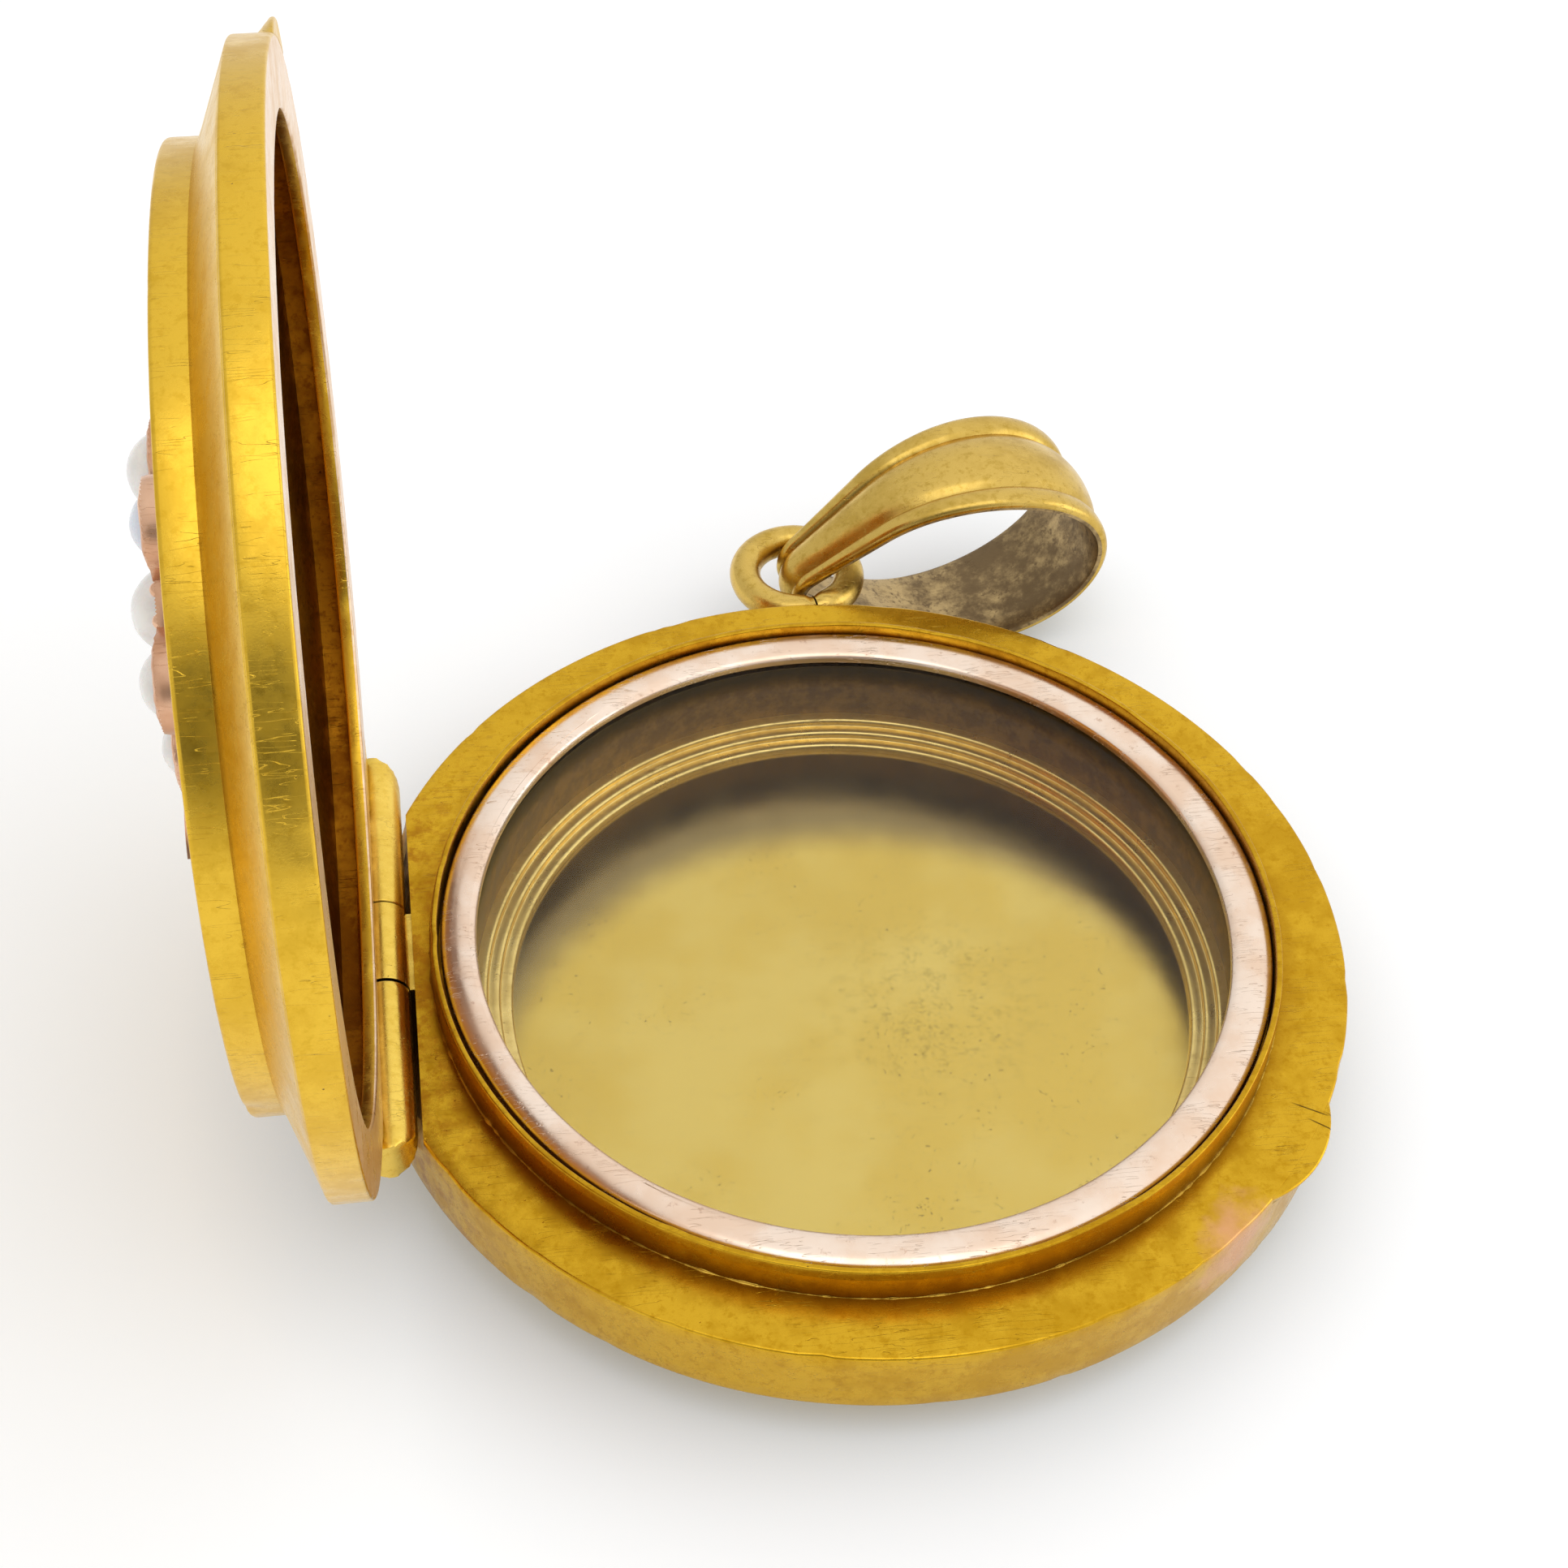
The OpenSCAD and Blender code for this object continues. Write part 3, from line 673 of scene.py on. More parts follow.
def make_collar():
    centre = ((COLLAR_LO + COLLAR_HI) / 2).xy
    radius = (COLLAR_HI.x - COLLAR_LO.x) / 2
    top = COLLAR_HI.z
    collar = lathe("snap_collar_wall", softened([
        (radius - COLLAR_WALL, BODY_H, 0, 0), (radius, BODY_H, 0, 0),
        (radius, BODY_H + 0.95, 0.2, 0), (radius - 0.05, top, 0.06, 0),
        (radius - COLLAR_WALL, top, 0.05, 0)], 0.25), centre)

    def uneven(p):
        lift = max(0.0, (p.z - BODY_H) / (top - BODY_H))
        a = math.atan2(p.y, p.x)
        wave = 0.035 * noise.noise(Vector((3 * math.cos(a), 3 * math.sin(a), 0)) * 1.5)
        out = Vector((math.cos(a), math.sin(a), 0))
        dip = 0.05 * min(0.0, noise.noise(Vector((9 * math.cos(a), 9 * math.sin(a), 4))))
        return (out * wave + Vector((0, 0, dip))) * lift

    bend(collar, uneven)
    bend(collar, nicks(12, radius, top, 0.05, 8))
    finish(collar, "case_body", "gold_satin", [GOLD_COLLAR], "snap_collar")

    sections = []
    steps = 720
    for k in range(steps):
        a = 2 * math.pi * k / steps
        ragged = noise.noise(Vector((22 * math.cos(a), 22 * math.sin(a), 0)))
        dashes = noise.noise(Vector((46 * math.cos(a), 46 * math.sin(a), 3)))
        size = max(0.012, 0.028 + 0.03 * ragged + 0.05 * dashes)
        section = []
        for r, z in ((-0.02, -0.02), (1.3 * size, -0.02), (1.1 * size, 0.35 * size),
                     (0.45 * size, 0.6 * size), (0.3 * size, 1.1 * size), (-0.02, 1.4 * size)):
            section.append((centre.x + (radius + r) * math.cos(a),
                            centre.y + (radius + r) * math.sin(a), BODY_H + z))
        sections.append(section)
    finish(sweep("collar_solder_line", sections), "case_body", "gold_satin", [SOLDER])


def make_window():
    inner = WELL_R - 0.3
    outer = BEZEL_R + 0.03
    seat = CRYSTAL_LO.z
    crown = [(outer, BODY_H, 0)]
    for k in range(17):
        a = math.pi * k / 16
        crown.append(((outer + inner) / 2 + (outer - inner) / 2 * math.cos(a),
                      BEZEL_TOP - 0.26 + 0.26 * max(0.0, math.sin(a)) ** 0.7, 0))
    crown += [(inner, CRYSTAL_HI.z, 0),
              (WALL_OUT, CRYSTAL_HI.z, 0), (WALL_OUT, BODY_H, 0)]
    bezel = lathe("bezel_crown", crown)
    collar_centre = ((COLLAR_LO + COLLAR_HI) / 2).xy
    collar_inside = (COLLAR_HI.x - COLLAR_LO.x) / 2 - COLLAR_WALL
    loosest = math.radians(110)

    def seated(p):
        """Shifts the inner edge towards the hinge and spreads the far side to the collar."""
        r = math.hypot(p.x, p.y)
        if r < inner + 0.3:
            return Vector((-0.15, 0, 0))
        if r < outer - 0.25:
            return Vector((0, 0, 0))
        out = Vector((p.x / r, p.y / r, 0))
        room = collar_inside + collar_centre.x * out.x + collar_centre.y * out.y - outer
        share = max(0.0, math.cos(math.atan2(p.y, p.x) - loosest)) ** 0.5
        return out * max(0.0, room - 0.06) * share

    bend(bend(bezel, seated), handmade)
    finish(bezel, "case_body", "rose_gold", [ROSE], "bezel_ring", sharp=45)

    crystal = lathe("crystal_pane", softened([
        (0, CRYSTAL_LO.z, 0, 0), (CRYSTAL_HI.x, CRYSTAL_LO.z, 0.05, 0),
        (CRYSTAL_HI.x, CRYSTAL_HI.z, 0.05, 0), (0, CRYSTAL_HI.z, 0, 0)], 1.5))
    finish(crystal, "case_body", "crystal_glass", [GLASS], "crystal")

    wall = lathe("well_wall_ring", softened([
        (WELL_R, FLOOR_LO.z, 0, 0), (WALL_OUT, FLOOR_LO.z, 0, 0),
        (WALL_OUT, seat, 0, 0), (WELL_R, seat, 0.04, 0)], 0.3))
    finish(wall, "case_body", "gold_satin", [WELL_SIDE], "well_wall")

    step_w, step_h = 0.4, (RIM_TOP - FLOOR_HI.z) / 3
    corners = [(WELL_R, FLOOR_HI.z, 0, 0), (WELL_R, RIM_TOP, 0, 0)]
    for k in range(3):
        r = WELL_R - step_w * (k + 1)
        corners += [(r, RIM_TOP - step_h * k, 0.15, 0),
                    (r, RIM_TOP - step_h * (k + 1), 0.04 if k < 2 else 0, 0)]
    steps_ring = lathe("picture_rim_steps", softened(corners, 0.2))
    finish(steps_ring, "case_body", "gold_satin", [STEP_GOLD_PAINTED_BRIGHT], "picture_rim")

    disc = lathe("well_floor_disc", softened([
        (0, FLOOR_LO.z, 0, 0), (WELL_R, FLOOR_LO.z, 0, 0), (WELL_R, FLOOR_HI.z, 0, 0),
        (0, FLOOR_HI.z, 0, 0)], 0.45))

    def buckle(p):
        if p.z < (FLOOR_LO.z + FLOOR_HI.z) / 2:
            return Vector((0, 0, 0))
        r = math.hypot(p.x, p.y) / WELL_R
        return Vector((0, 0, 0.04 * noise.noise(p * 0.16) + 0.12 * (1 - r * r) - 0.02))

    finish(bend(disc, buckle), "case_body", "floor_gold", [WELL_FLOOR], "floor_plate")


def lip_offset_points(bearing):
    """Plan outline of a crescent thumb lip outside the case's edge."""
    reach, arc_r = 0.5, 3.9
    middle = CASE_R + reach - arc_r
    half = math.acos((CASE_R ** 2 - arc_r ** 2 - middle ** 2) / (2 * arc_r * middle))
    outer = [(middle + arc_r * math.cos(a), arc_r * math.sin(a))
             for a in (half * (2 * k / 24 - 1) for k in range(25))]
    turn = math.radians(bearing)
    return [(x * math.cos(turn) - y * math.sin(turn), x * math.sin(turn) + y * math.cos(turn))
            for x, y in outer]


def make_lip(name, bearing, top, down):
    """Crescent thumb lip: top is its flat face's height, down is -1 or 1."""
    rows = []
    for x, y in lip_offset_points(bearing):
        r = math.hypot(x, y)
        ux, uy = x / r, y / r
        out = max(r - CASE_R, 0.0)
        section = []
        for inset, drop in ((-0.05, 0.0), (out - 0.05, 0.0), (out - 0.01, 0.03), (out, 0.08),
                            (out - 0.02, 0.14), (0.55 * out, 0.3), (-0.05, 0.5)):
            rr = CASE_R + inset
            section.append((rr * ux, rr * uy, top + down * drop))
        rows.append(section)
    return sweep(name, rows, closed=False)


def make_body_lip():
    lip = bend(make_lip("body_thumb_crescent", -39, BODY_H, -1), handmade)
    finish(lip, "case_body", "gold_satin", [GOLD_FLANGE], "body_thumb_lip")


def make_loop():
    """Wire loop, closed with a visible seam that faces the case."""
    wire = (LOOP_HI.z - LOOP_LO.z) / 2
    middle = Vector((LOOP_CENTRE.x, LOOP_HI.y - (LOOP_HI.x - LOOP_LO.x) / 2, LOOP_CENTRE.z))
    radius = (LOOP_HI.x - LOOP_LO.x) / 2 - wire
    seam = 0.018
    sections = []
    count = 160
    for k in range(count + 1):
        a = -math.pi / 2 + 0.2 + seam + (2 * math.pi - 2 * seam) * k / count
        edge = min(k, count - k) / 3
        thin = 1.0 - 0.18 * math.exp(-edge ** 2)
        r = wire * thin * (1 - 0.04 * abs(noise.noise(Vector((2 * a, 1, 0)))))
        sections.append([
            middle + Vector(((radius + r * math.cos(b)) * math.cos(a),
                             (radius + r * math.cos(b)) * math.sin(a), r * math.sin(b)))
            for b in (2 * math.pi * j / 28 for j in range(28))])
    loop = sweep("bail_loop_wire", sections, closed=False)
    boolean(loop, lathe("cutter", [(0, -1, 0), (CASE_R - 0.02, -1, 0),
                                   (CASE_R - 0.02, 9, 0), (0, 9, 0)]))
    finish(loop, "case_body", "gold_satin", [GOLD_BAIL], "bail_loop")


def barrel(name, y0, y1, round_low=0.0, round_high=0.0):
    """Piece of hinge barrel with softened ends. round_low and round_high round away the
    ends on the lower side of the barrel in the closed pose."""
    steps, soft = 48, 0.05
    stations = [y0, y0 + soft * 0.3, y0 + soft]
    inner_count = max(6, int((y1 - y0) / 0.2))
    stations += [y0 + soft + (y1 - y0 - 2 * soft) * k / inner_count
                 for k in range(1, inner_count)]
    stations += [y1 - soft, y1 - soft * 0.3, y1]
    sections = []
    for y in stations:
        inset = max(0.0, soft - min(y - y0, y1 - y)) / soft
        r = KNUCKLE_R - 0.045 * inset ** 2
        r *= 1 - 0.012 * abs(noise.noise(Vector((0, y * 1.3, 2))))
        section = []
        for k in range(steps):
            a = 2 * math.pi * k / steps
            x, z = r * math.cos(a), r * math.sin(a)
            for reach, depth in ((y - y0, round_low), (y1 - y, round_high)):
                if depth and reach < depth:
                    floor = depth - math.sqrt(max(0.0, depth ** 2 - (depth - reach) ** 2))
                    z = max(z, -KNUCKLE_R + floor)
            section.append((HINGE.x + x, y, HINGE.z + z))
        sections.append(section)
    return sweep(name, sections, closed=False)


def make_body_hinge():
    low, high = box("body_knuckle")
    knuckle = barrel("body_knuckle_tube", low.y, high.y)
    boolean(knuckle, hinge_rod(box("hinge_pin", CLOSED)[1].z - HINGE.z + 0.05,
                               low.y - 1, high.y + 1))
    finish(knuckle, "case_body", "gold_satin", [GOLD_HINGE])
    dress("body_knuckle", GOLD_HINGE)
    dress("hinge_seat", HINGE_TROUGH_PAINTED_SHADE)


def dress(node, material):
    """New material for a CAD node that stays as it is."""
    mesh = frame["nodes"][node].data
    mesh.materials.clear()
    mesh.materials.append(material)
    mesh.shade_smooth()
    mesh.set_sharp_from_angle(angle=math.radians(35))


make_body()
make_collar()
make_window()
make_body_lip()
make_loop()
make_body_hinge()

# ------------------------------------------------------------------ cover


def barrel_cut(obj):
    """Takes the barrel's room out of a cover piece."""
    return boolean(obj, hinge_rod(KNUCKLE_R - 0.005, -CASE_R, CASE_R))


def make_cover():
    inside = 1
    rim = lathe("cover_rim", softened([
        (COVER_OPEN_R, COVER_Z, 0.08, 2), (CASE_R, COVER_Z, 0.1, 0),
        (CASE_R, COVER_BAND_Z, 0.1, 0), (CASE_R - SHEET, COVER_BAND_Z, 0, inside),
        (CASE_R - SHEET, COVER_Z + SHEET, 0, inside),
        (COVER_OPEN_R, COVER_Z + SHEET, 0.08, 0)], 0.4))
    bend(rim, handmade)
    bend(rim, nicks(22, CASE_R, COVER_Z, 0.05, 13))
    bend(rim, nicks(16, CASE_R, COVER_BAND_Z, 0.05, 14))
    bend(rim, nicks(14, COVER_OPEN_R, COVER_Z, -0.05, 15))
    barrel_cut(rim)
    finish(rim, "cover", "gold_satin", [GOLD, GOLD_INSIDE, PINK_WORN], "cover_flange",
           "cover_band", pose=OPENED)

    ledge = lathe("cover_ledge_ring", softened([
        (CASE_R - 0.03, COVER_BAND_Z - 0.02, 0.05, 0),
        (FACE_R + 0.45, COVER_STEP_Z - 0.2, 0.7, 0), (FACE_R, COVER_STEP_Z, 0, inside),
        (FACE_R - SHEET, COVER_STEP_Z, 0, inside),
        (FACE_R - SHEET, COVER_STEP_Z - 0.4, 0, inside),
        (CASE_R - SHEET, COVER_BAND_Z, 0, inside)]))
    finish(bend(ledge, handmade), "cover", "gold_satin", [GOLD, GOLD_INSIDE], "cover_ledge",
           pose=OPENED)

    top = lathe("cover_top", softened([
        (FACE_R, COVER_STEP_Z - 0.02, 0.03, 0), (FACE_R, COVER_FACE_Z, 0.13, 0),
        (0, COVER_FACE_Z, 0, inside), (0, COVER_FACE_Z - SHEET, 0, inside),
        (FACE_R - SHEET, COVER_FACE_Z - SHEET, 0, inside),
        (FACE_R - SHEET, COVER_STEP_Z - 0.02, 0, inside)], 0.6))
    bend(top, handmade)
    bend(top, nicks(10, FACE_R, COVER_FACE_Z, 0.05, 18))
    finish(top, "cover", "gold_satin", [GOLD, GOLD_INSIDE], "cover_upper_band",
           "cover_face", pose=OPENED)

    lip = bend(make_lip("cover_thumb_crescent", 38, COVER_Z, 1), handmade)
    finish(lip, "cover", "gold_satin", [GOLD], "cover_thumb_lip", pose=OPENED)
    dress("cover_bearer", GOLD_HINGE)
    dress("hinge_pin", GOLD_HINGE)


def make_cover_hinge():
    for node, ends in (("upper_knuckle", (0.0, 1.0)), ("lower_knuckle", (1.0, 0.0))):
        low, high = box(node, CLOSED)
        tube = barrel(node + "_tube", low.y, high.y, *ends)
        finish(tube, "cover", "gold_satin", [GOLD_HINGE], node, pose=OPENED)


# ------------------------------------------------------------------ ornament


def lobed_plate(name, centre, lobes, low, high, rim=0.07):
    """Flat plate whose outline follows a ring of round lobes, with a raised milled rim."""
    steps = 360
    outline = []
    for k in range(steps):
        a = 2 * math.pi * k / steps
        d = Vector((math.cos(a), math.sin(a)))
        reach = 3.0
        for place, r in lobes:
            along = place.dot(d)
            off = place.dot(Vector((-d.y, d.x)))
            if abs(off) < r and along > 0:
                reach = max(reach, along + math.sqrt(r * r - off * off))
        outline.append(d * reach)
    sections = []
    for k in range(steps):
        mill = 0.5 + 0.5 * math.cos(k * math.pi)
        out = outline[k]
        n = out.normalized()
        rows = ((0.0, low), (0.0, high - 0.12), (-0.05, high + rim * (0.4 + 0.6 * mill)),
                (-0.16, high + rim * (0.4 + 0.6 * mill)), (-0.24, high - 0.03))
        sections.append([(centre.x + out.x + n.x * s, centre.y + out.y + n.y * s, z)
                         for s, z in rows])
    bm = bmesh.new()
    rings = [[bm.verts.new(p) for p in section] for section in sections]
    for k in range(steps):
        here, there = rings[k], rings[(k + 1) % steps]
        for i in range(len(here) - 1):
            bm.faces.new((here[i], here[i + 1], there[i + 1], there[i]))
    bm.faces.new([ring[0] for ring in rings])
    bm.faces.new([ring[-1] for ring in reversed(rings)])
    bmesh.ops.recalc_face_normals(bm, faces=bm.faces)
    bmesh.ops.triangulate(bm, faces=[f for f in bm.faces if len(f.verts) > 4])
    return from_bmesh(name, bm)


def half_pearl(name, low, high, seed):
    """Slightly irregular half pearl filling the given box."""
    bm = bmesh.new()
    bmesh.ops.create_uvsphere(bm, u_segments=40, v_segments=24, radius=1)
    r = (high.x - low.x) / 2
    middle = Vector(((low.x + high.x) / 2, (low.y + high.y) / 2, high.z - r))
    for v in bm.verts:
        p = v.co.copy()
        swell = 1 - 0.025 * abs(noise.noise(p * 1.4 + Vector((seed, 0, 0))))
        v.co = middle + p * r * swell
        v.co.z = max(v.co.z, low.z)
    return from_bmesh(name, bm)


def make_ornament():
    low, high = box("flower_plaque", CLOSED)
    centre_lo, centre_hi = box("centre_pearl", CLOSED)
    centre = (centre_lo + centre_hi) / 2
    petals = [box("petal_pearl_%d" % k, CLOSED) for k in range(1, 7)]
    lobes = []
    for p_low, p_high in petals:
        place = ((p_low + p_high) / 2 - centre).xy
        lobes.append((place, (p_high.x - p_low.x) / 2 + 0.32))
    plate = lobed_plate("flower_plate", centre, lobes, low.z - 0.01, high.z)
    finish(plate, "cover", "rose_gold", [ROSE_DEEP], "flower_plaque", pose=OPENED)
    seats = [((p_low + p_high) / 2, (p_high.x - p_low.x) / 2) for p_low, p_high in petals]
    seats.append((centre, (centre_hi.x - centre_lo.x) / 2))
    for k, (place, r) in enumerate(seats):
        collet = lathe("pearl_seat_%d" % (k + 1), softened([
            (r - 0.03, high.z - 0.05, 0, 0), (r + 0.14, high.z - 0.05, 0, 0),
            (r + 0.12, high.z + 0.1, 0.05, 0), (r - 0.01, high.z + 0.16, 0.03, 0)], 0.2),
            place.xy, 72)
        bend(collet, lambda p: Vector((0, 0, 0.03 * noise.noise(p * 3.0))))
        finish(collet, "cover", "rose_gold", [ROSE_DEEP], pose=OPENED)
    names = ["petal_pearl_%d" % k for k in range(1, 7)] + ["centre_pearl"]
    for k, node in enumerate(names):
        pearl = half_pearl(node + "_nacre", *box(node, CLOSED), seed=k * 3.7)
        finish(pearl, "cover", "half_pearl", [PEARL_COOL if k == 1 else PEARL], node,
               pose=OPENED)
    for node in ("leaf_spray", "setting_grains"):
        dress(node, ROSE_DEEP)


make_cover()
make_cover_hinge()
make_ornament()

# ------------------------------------------------------------------ bail

# The same drop as the frame's bail, with smoother ribs.
BAIL_BEARING = math.radians(9.4)
BAIL_PITCH = math.radians(7)
BAIL_CONTACT = math.radians(8)
BAIL_SEAT = 0.9                 # from the loop's centre to the narrow bend's
BAIL_LEN = 5.45                 # between the centres of the two bends
BAIL_BIG_U = 5.0                # half length of the oval wide bend
BAIL_BIG_W = 3.6                # half height of the oval wide bend
BAIL_SMALL_R = 1.18
BAIL_HALF_TOP = 2.8
BAIL_HALF_LOW = 2.5
BAIL_HALF_NARROW = 1.16


def bail_line():
    """(u, w, outward direction) once round the drop."""
    qa = BAIL_LEN ** 2 - BAIL_BIG_U ** 2 + BAIL_BIG_W ** 2
    qb = BAIL_SMALL_R * BAIL_LEN
    qc = BAIL_SMALL_R ** 2 - BAIL_BIG_W ** 2
    side = math.acos((qb - math.sqrt(qb * qb - qa * qc)) / qa)
    end = math.atan2(BAIL_BIG_W * math.sin(side), BAIL_BIG_U * math.cos(side))
    wide, straight, narrow = 120, 30, 40

    def oval(t):
        return Vector((BAIL_LEN + BAIL_BIG_U * math.cos(t), BAIL_BIG_W * math.sin(t)))

    def small(a):
        return Vector((BAIL_SMALL_R * math.cos(a), BAIL_SMALL_R * math.sin(a)))

    line = []
    for k in range(wide):
        t = end * (2 * k / wide - 1)
        line.append((oval(t), math.atan2(math.sin(t) / BAIL_BIG_W, math.cos(t) / BAIL_BIG_U)))
    for k in range(straight):
        line.append((oval(end).lerp(small(side), k / straight), side))
    for k in range(narrow):
        a = side + (2 * math.pi - 2 * side) * k / narrow
        line.append((small(a), a))
    for k in range(straight):
        line.append((small(-side).lerp(oval(-end), k / straight), -side))
    return line


def bail_half(c):
    """Half width at a centre point."""
    t = (c.x + BAIL_SMALL_R) / (BAIL_LEN + BAIL_BIG_U + BAIL_SMALL_R)
    grow = math.sin(math.pi / 2 * max(0.0, min(1.0, t))) ** 1.1
    wide = BAIL_HALF_LOW + (BAIL_HALF_TOP - BAIL_HALF_LOW) * (c.y / BAIL_BIG_W + 1) / 2
    return BAIL_HALF_NARROW + (wide - BAIL_HALF_NARROW) * grow


def bail_section():
    """Strip section: (fraction of half width, height). A broad ridge, two grooves and a
    rounded bead along each edge."""
    top = []
    for k in range(41):
        x = -1 + 2 * k / 40
        ridge = 0.38 * math.cos(min(1.0, abs(x) / 0.56) * math.pi / 2) ** 0.6
        bead = 0.2 * math.sqrt(max(0.0, 1 - ((abs(x) - 0.8) / 0.2) ** 2))
        top.append((x, max(0.0, ridge + 0.02, bead + 0.02)))
    low = [(1.0, -0.1), (0.985, -0.24), (0.93, -0.29)]
    low += [(x, -0.27) for x in (0.6, 0.3, 0.0, -0.3, -0.6)]
    low += [(-0.93, -0.29), (-0.985, -0.24), (-1.0, -0.1)]
    return top + low


def make_bail():
    centre_x = (LOOP_LO.x + LOOP_HI.x) / 2
    wire = (LOOP_HI.z - LOOP_LO.z) / 2
    loop_r = (LOOP_HI.x - LOOP_LO.x) / 2 - wire
    centre_y = LOOP_HI.y - loop_r - wire
    drop = BAIL_SMALL_R - 0.3 - wire - 0.04
    origin = Vector((centre_x + BAIL_SEAT * math.cos(BAIL_CONTACT),
                     centre_y + BAIL_SEAT * math.sin(BAIL_CONTACT), LOOP_CENTRE.z - drop))
    flat = Vector((math.cos(BAIL_BEARING), math.sin(BAIL_BEARING), 0))
    up = Vector((0, 0, 1))
    u_dir = flat * math.cos(BAIL_PITCH) + up * math.sin(BAIL_PITCH)
    v_dir = Vector((-math.sin(BAIL_BEARING), math.cos(BAIL_BEARING), 0))
    w_dir = -flat * math.sin(BAIL_PITCH) + up * math.cos(BAIL_PITCH)
    section = bail_section()
    inner_side = len(section) - 10
    sections = []
    for c, a in bail_line():
        half = bail_half(c)
        ring = []
        for x, h in section:
            wear = 1 - 0.05 * abs(noise.noise(Vector((c.x, c.y, x * 3)) * 0.8))
            h *= wear
            ring.append(origin + (c.x + h * math.cos(a)) * u_dir + x * half * v_dir
                        + (c.y + h * math.sin(a)) * w_dir)
        sections.append(ring)
    strip = sweep("bail_strip", sections)
    # The strip's inner face gets the dark gold: painted shade for the shadow inside the bail.
    for polygon in strip.data.polygons:
        sides = {v % len(section) for v in polygon.vertices}
        if min(sides) >= inner_side:
            polygon.material_index = 1
    finish(strip, "bail", "gold_satin", [GOLD_BAIL, BAIL_PAINTED_SHADE], "bail", sharp=50)


make_bail()

# ------------------------------------------------------------------ stage, light, camera


def make_floor():
    bm = bmesh.new()
    bmesh.ops.create_grid(bm, x_segments=8, y_segments=8, size=600)
    floor = from_bmesh("table", bm)
    floor.data.transform(Matrix.Scale(MM, 4))
    s = Shader("pale_table")
    pale = s.mix(s.noise(0.05, 3.0), (0.95, 0.96, 0.97), (0.93, 0.94, 0.95))
    # Painted contact shadow: near the locket, ambient occlusion turns the table's colour a cool
    # grey.
    near = s.remap(s.crevice(7.0), 0.05, 0.65, 0.0, 1.0, smooth=False)
    s.link(s.mix(near, pale, (0.66, 0.74, 0.84)), s.bsdf.inputs["Base Color"])
    s.bsdf.inputs["Roughness"].default_value = 0.6
    s.bsdf.inputs["Specular IOR Level"].default_value = 0.0
    s.bsdf.inputs["Emission Color"].default_value = (1, 1, 1, 1)
    s.bsdf.inputs["Emission Strength"].default_value = 0.12
    floor.data.materials.append(s.material)


def softbox(name, place, size, radiance, target=(0, 0, 6)):
    """Square area light of the given radiance, aimed at a point near the locket."""
    data = bpy.data.lights.new(name, "AREA")
    data.shape = "SQUARE"
    data.size = size * MM
    data.energy = radiance * math.pi * (size * MM) ** 2
    lamp = bpy.data.objects.new(name, data)
    lamp.location = Vector(place) * MM
    aim = (Vector(target) - Vector(place)).normalized()
    lamp.rotation_mode = "QUATERNION"
    lamp.rotation_quaternion = aim.to_track_quat("-Z", "Y")
    lamp.visible_camera = False
    bpy.context.scene.collection.objects.link(lamp)


CAMERA_PLACE = Vector((-12.923, -56.001, 71.47))
CAMERA_FORWARD = Vector((0.12322, 0.67884, -0.72387))
CAMERA_RIGHT = Vector((0.98991, -0.13554, 0.0414))
CAMERA_LENS = 61.80             # on a 36 mm sensor
DARK_GAP = Vector((-0.08, -0.91, 0.40))     # the unlit direction in front of the locket
GAP_EDGE, GAP_CORE = 27, 8      # degrees from DARK_GAP where the dark starts and is full
WORLD_LIGHT, GAP_LIGHT = 1.06, 0.22
BRIGHT_SIDE = Vector((0.75, 0.1, 0.65))


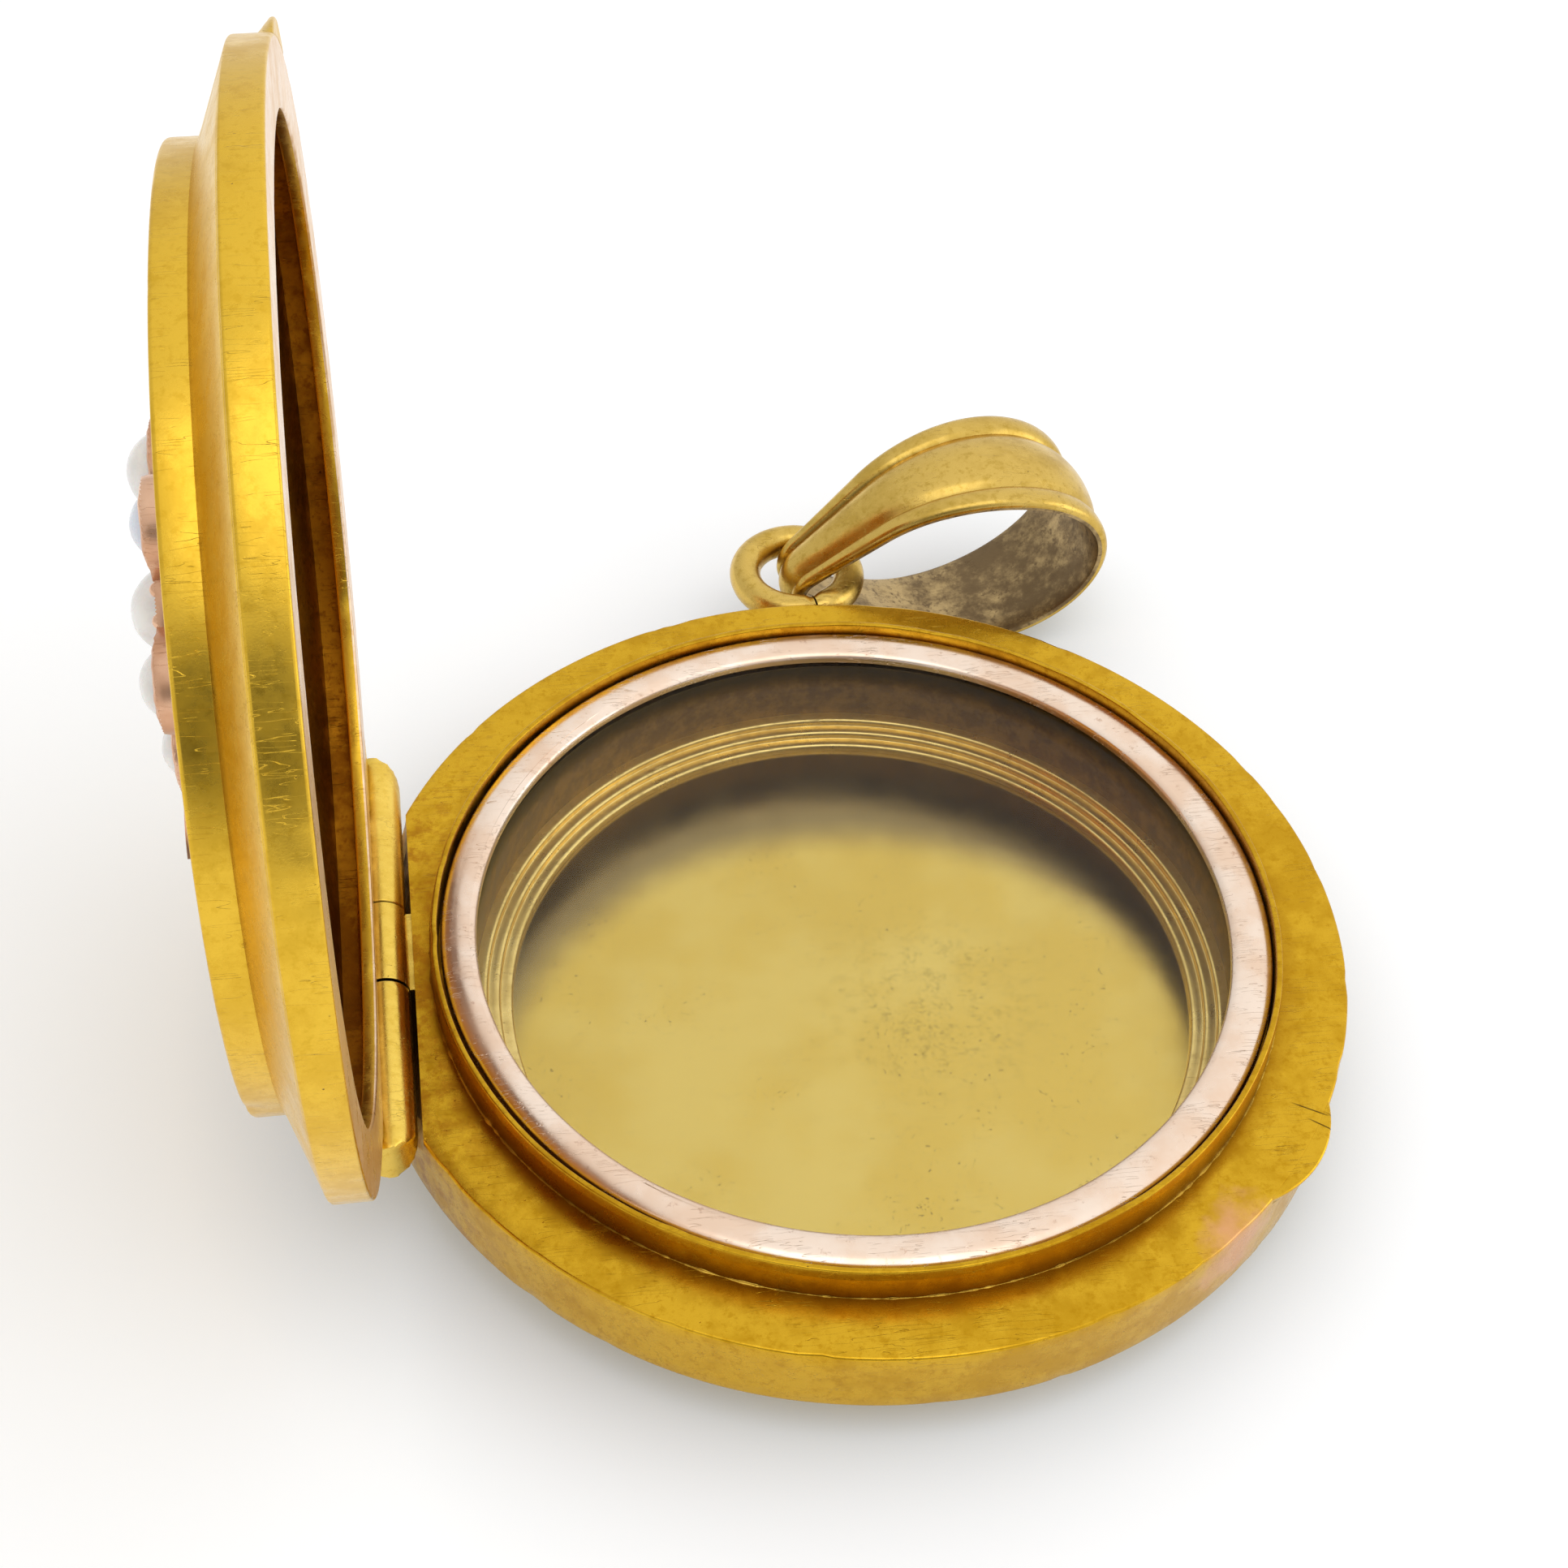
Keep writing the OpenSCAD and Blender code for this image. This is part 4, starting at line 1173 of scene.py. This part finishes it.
def make_world():
    """Even studio light from all round, with a dark gap low in front of the locket."""
    world = bpy.data.worlds.new("studio")
    world.use_nodes = True
    tree = world.node_tree
    background = tree.nodes["Background"]
    coord = tree.nodes.new("ShaderNodeTexCoord")
    dot = tree.nodes.new("ShaderNodeVectorMath")
    dot.operation = "DOT_PRODUCT"
    tree.links.new(coord.outputs["Generated"], dot.inputs[0])
    dot.inputs[1].default_value = DARK_GAP.normalized()
    gap = tree.nodes.new("ShaderNodeMapRange")
    gap.interpolation_type = "SMOOTHSTEP"
    tree.links.new(dot.outputs["Value"], gap.inputs["Value"])
    gap.inputs["From Min"].default_value = math.cos(math.radians(GAP_EDGE))
    gap.inputs["From Max"].default_value = math.cos(math.radians(GAP_CORE))
    gap.inputs["To Min"].default_value = WORLD_LIGHT
    gap.inputs["To Max"].default_value = GAP_LIGHT
    side = tree.nodes.new("ShaderNodeVectorMath")
    side.operation = "DOT_PRODUCT"
    tree.links.new(coord.outputs["Generated"], side.inputs[0])
    side.inputs[1].default_value = BRIGHT_SIDE.normalized()
    slope = tree.nodes.new("ShaderNodeMapRange")
    slope.interpolation_type = "SMOOTHSTEP"
    tree.links.new(side.outputs["Value"], slope.inputs["Value"])
    slope.inputs["From Min"].default_value = -0.2
    slope.inputs["From Max"].default_value = 0.95
    slope.inputs["To Min"].default_value = 0.72
    slope.inputs["To Max"].default_value = 1.0
    total = tree.nodes.new("ShaderNodeMath")
    total.operation = "MULTIPLY"
    tree.links.new(gap.outputs["Result"], total.inputs[0])
    tree.links.new(slope.outputs["Result"], total.inputs[1])
    tree.links.new(total.outputs[0], background.inputs["Strength"])
    background.inputs["Color"].default_value = (1, 1, 1, 1)
    bpy.context.scene.world = world


def make_camera():
    data = bpy.data.cameras.new("camera")
    data.sensor_width = 36
    data.lens = CAMERA_LENS
    data.clip_start = 0.002
    data.clip_end = 5
    camera = bpy.data.objects.new("camera", data)
    forward = CAMERA_FORWARD.normalized()
    right = (CAMERA_RIGHT - forward * CAMERA_RIGHT.dot(forward)).normalized()
    up = right.cross(forward)
    camera.matrix_world = Matrix.Translation(CAMERA_PLACE * MM) @ Matrix(
        (right, up, -forward)).transposed().to_4x4()
    bpy.context.scene.collection.objects.link(camera)
    bpy.context.scene.camera = camera


# name, place, side length, radiance
SOFTBOXES = (
    ("key_softbox", (10, -60, 200), 130, 0.8),
    ("side_softbox", (160, -20, 70), 110, 0.9),
)

make_floor()
make_world()
for values in SOFTBOXES:
    softbox(*values)
make_camera()
bpy.context.scene.view_settings.view_transform = "Standard"
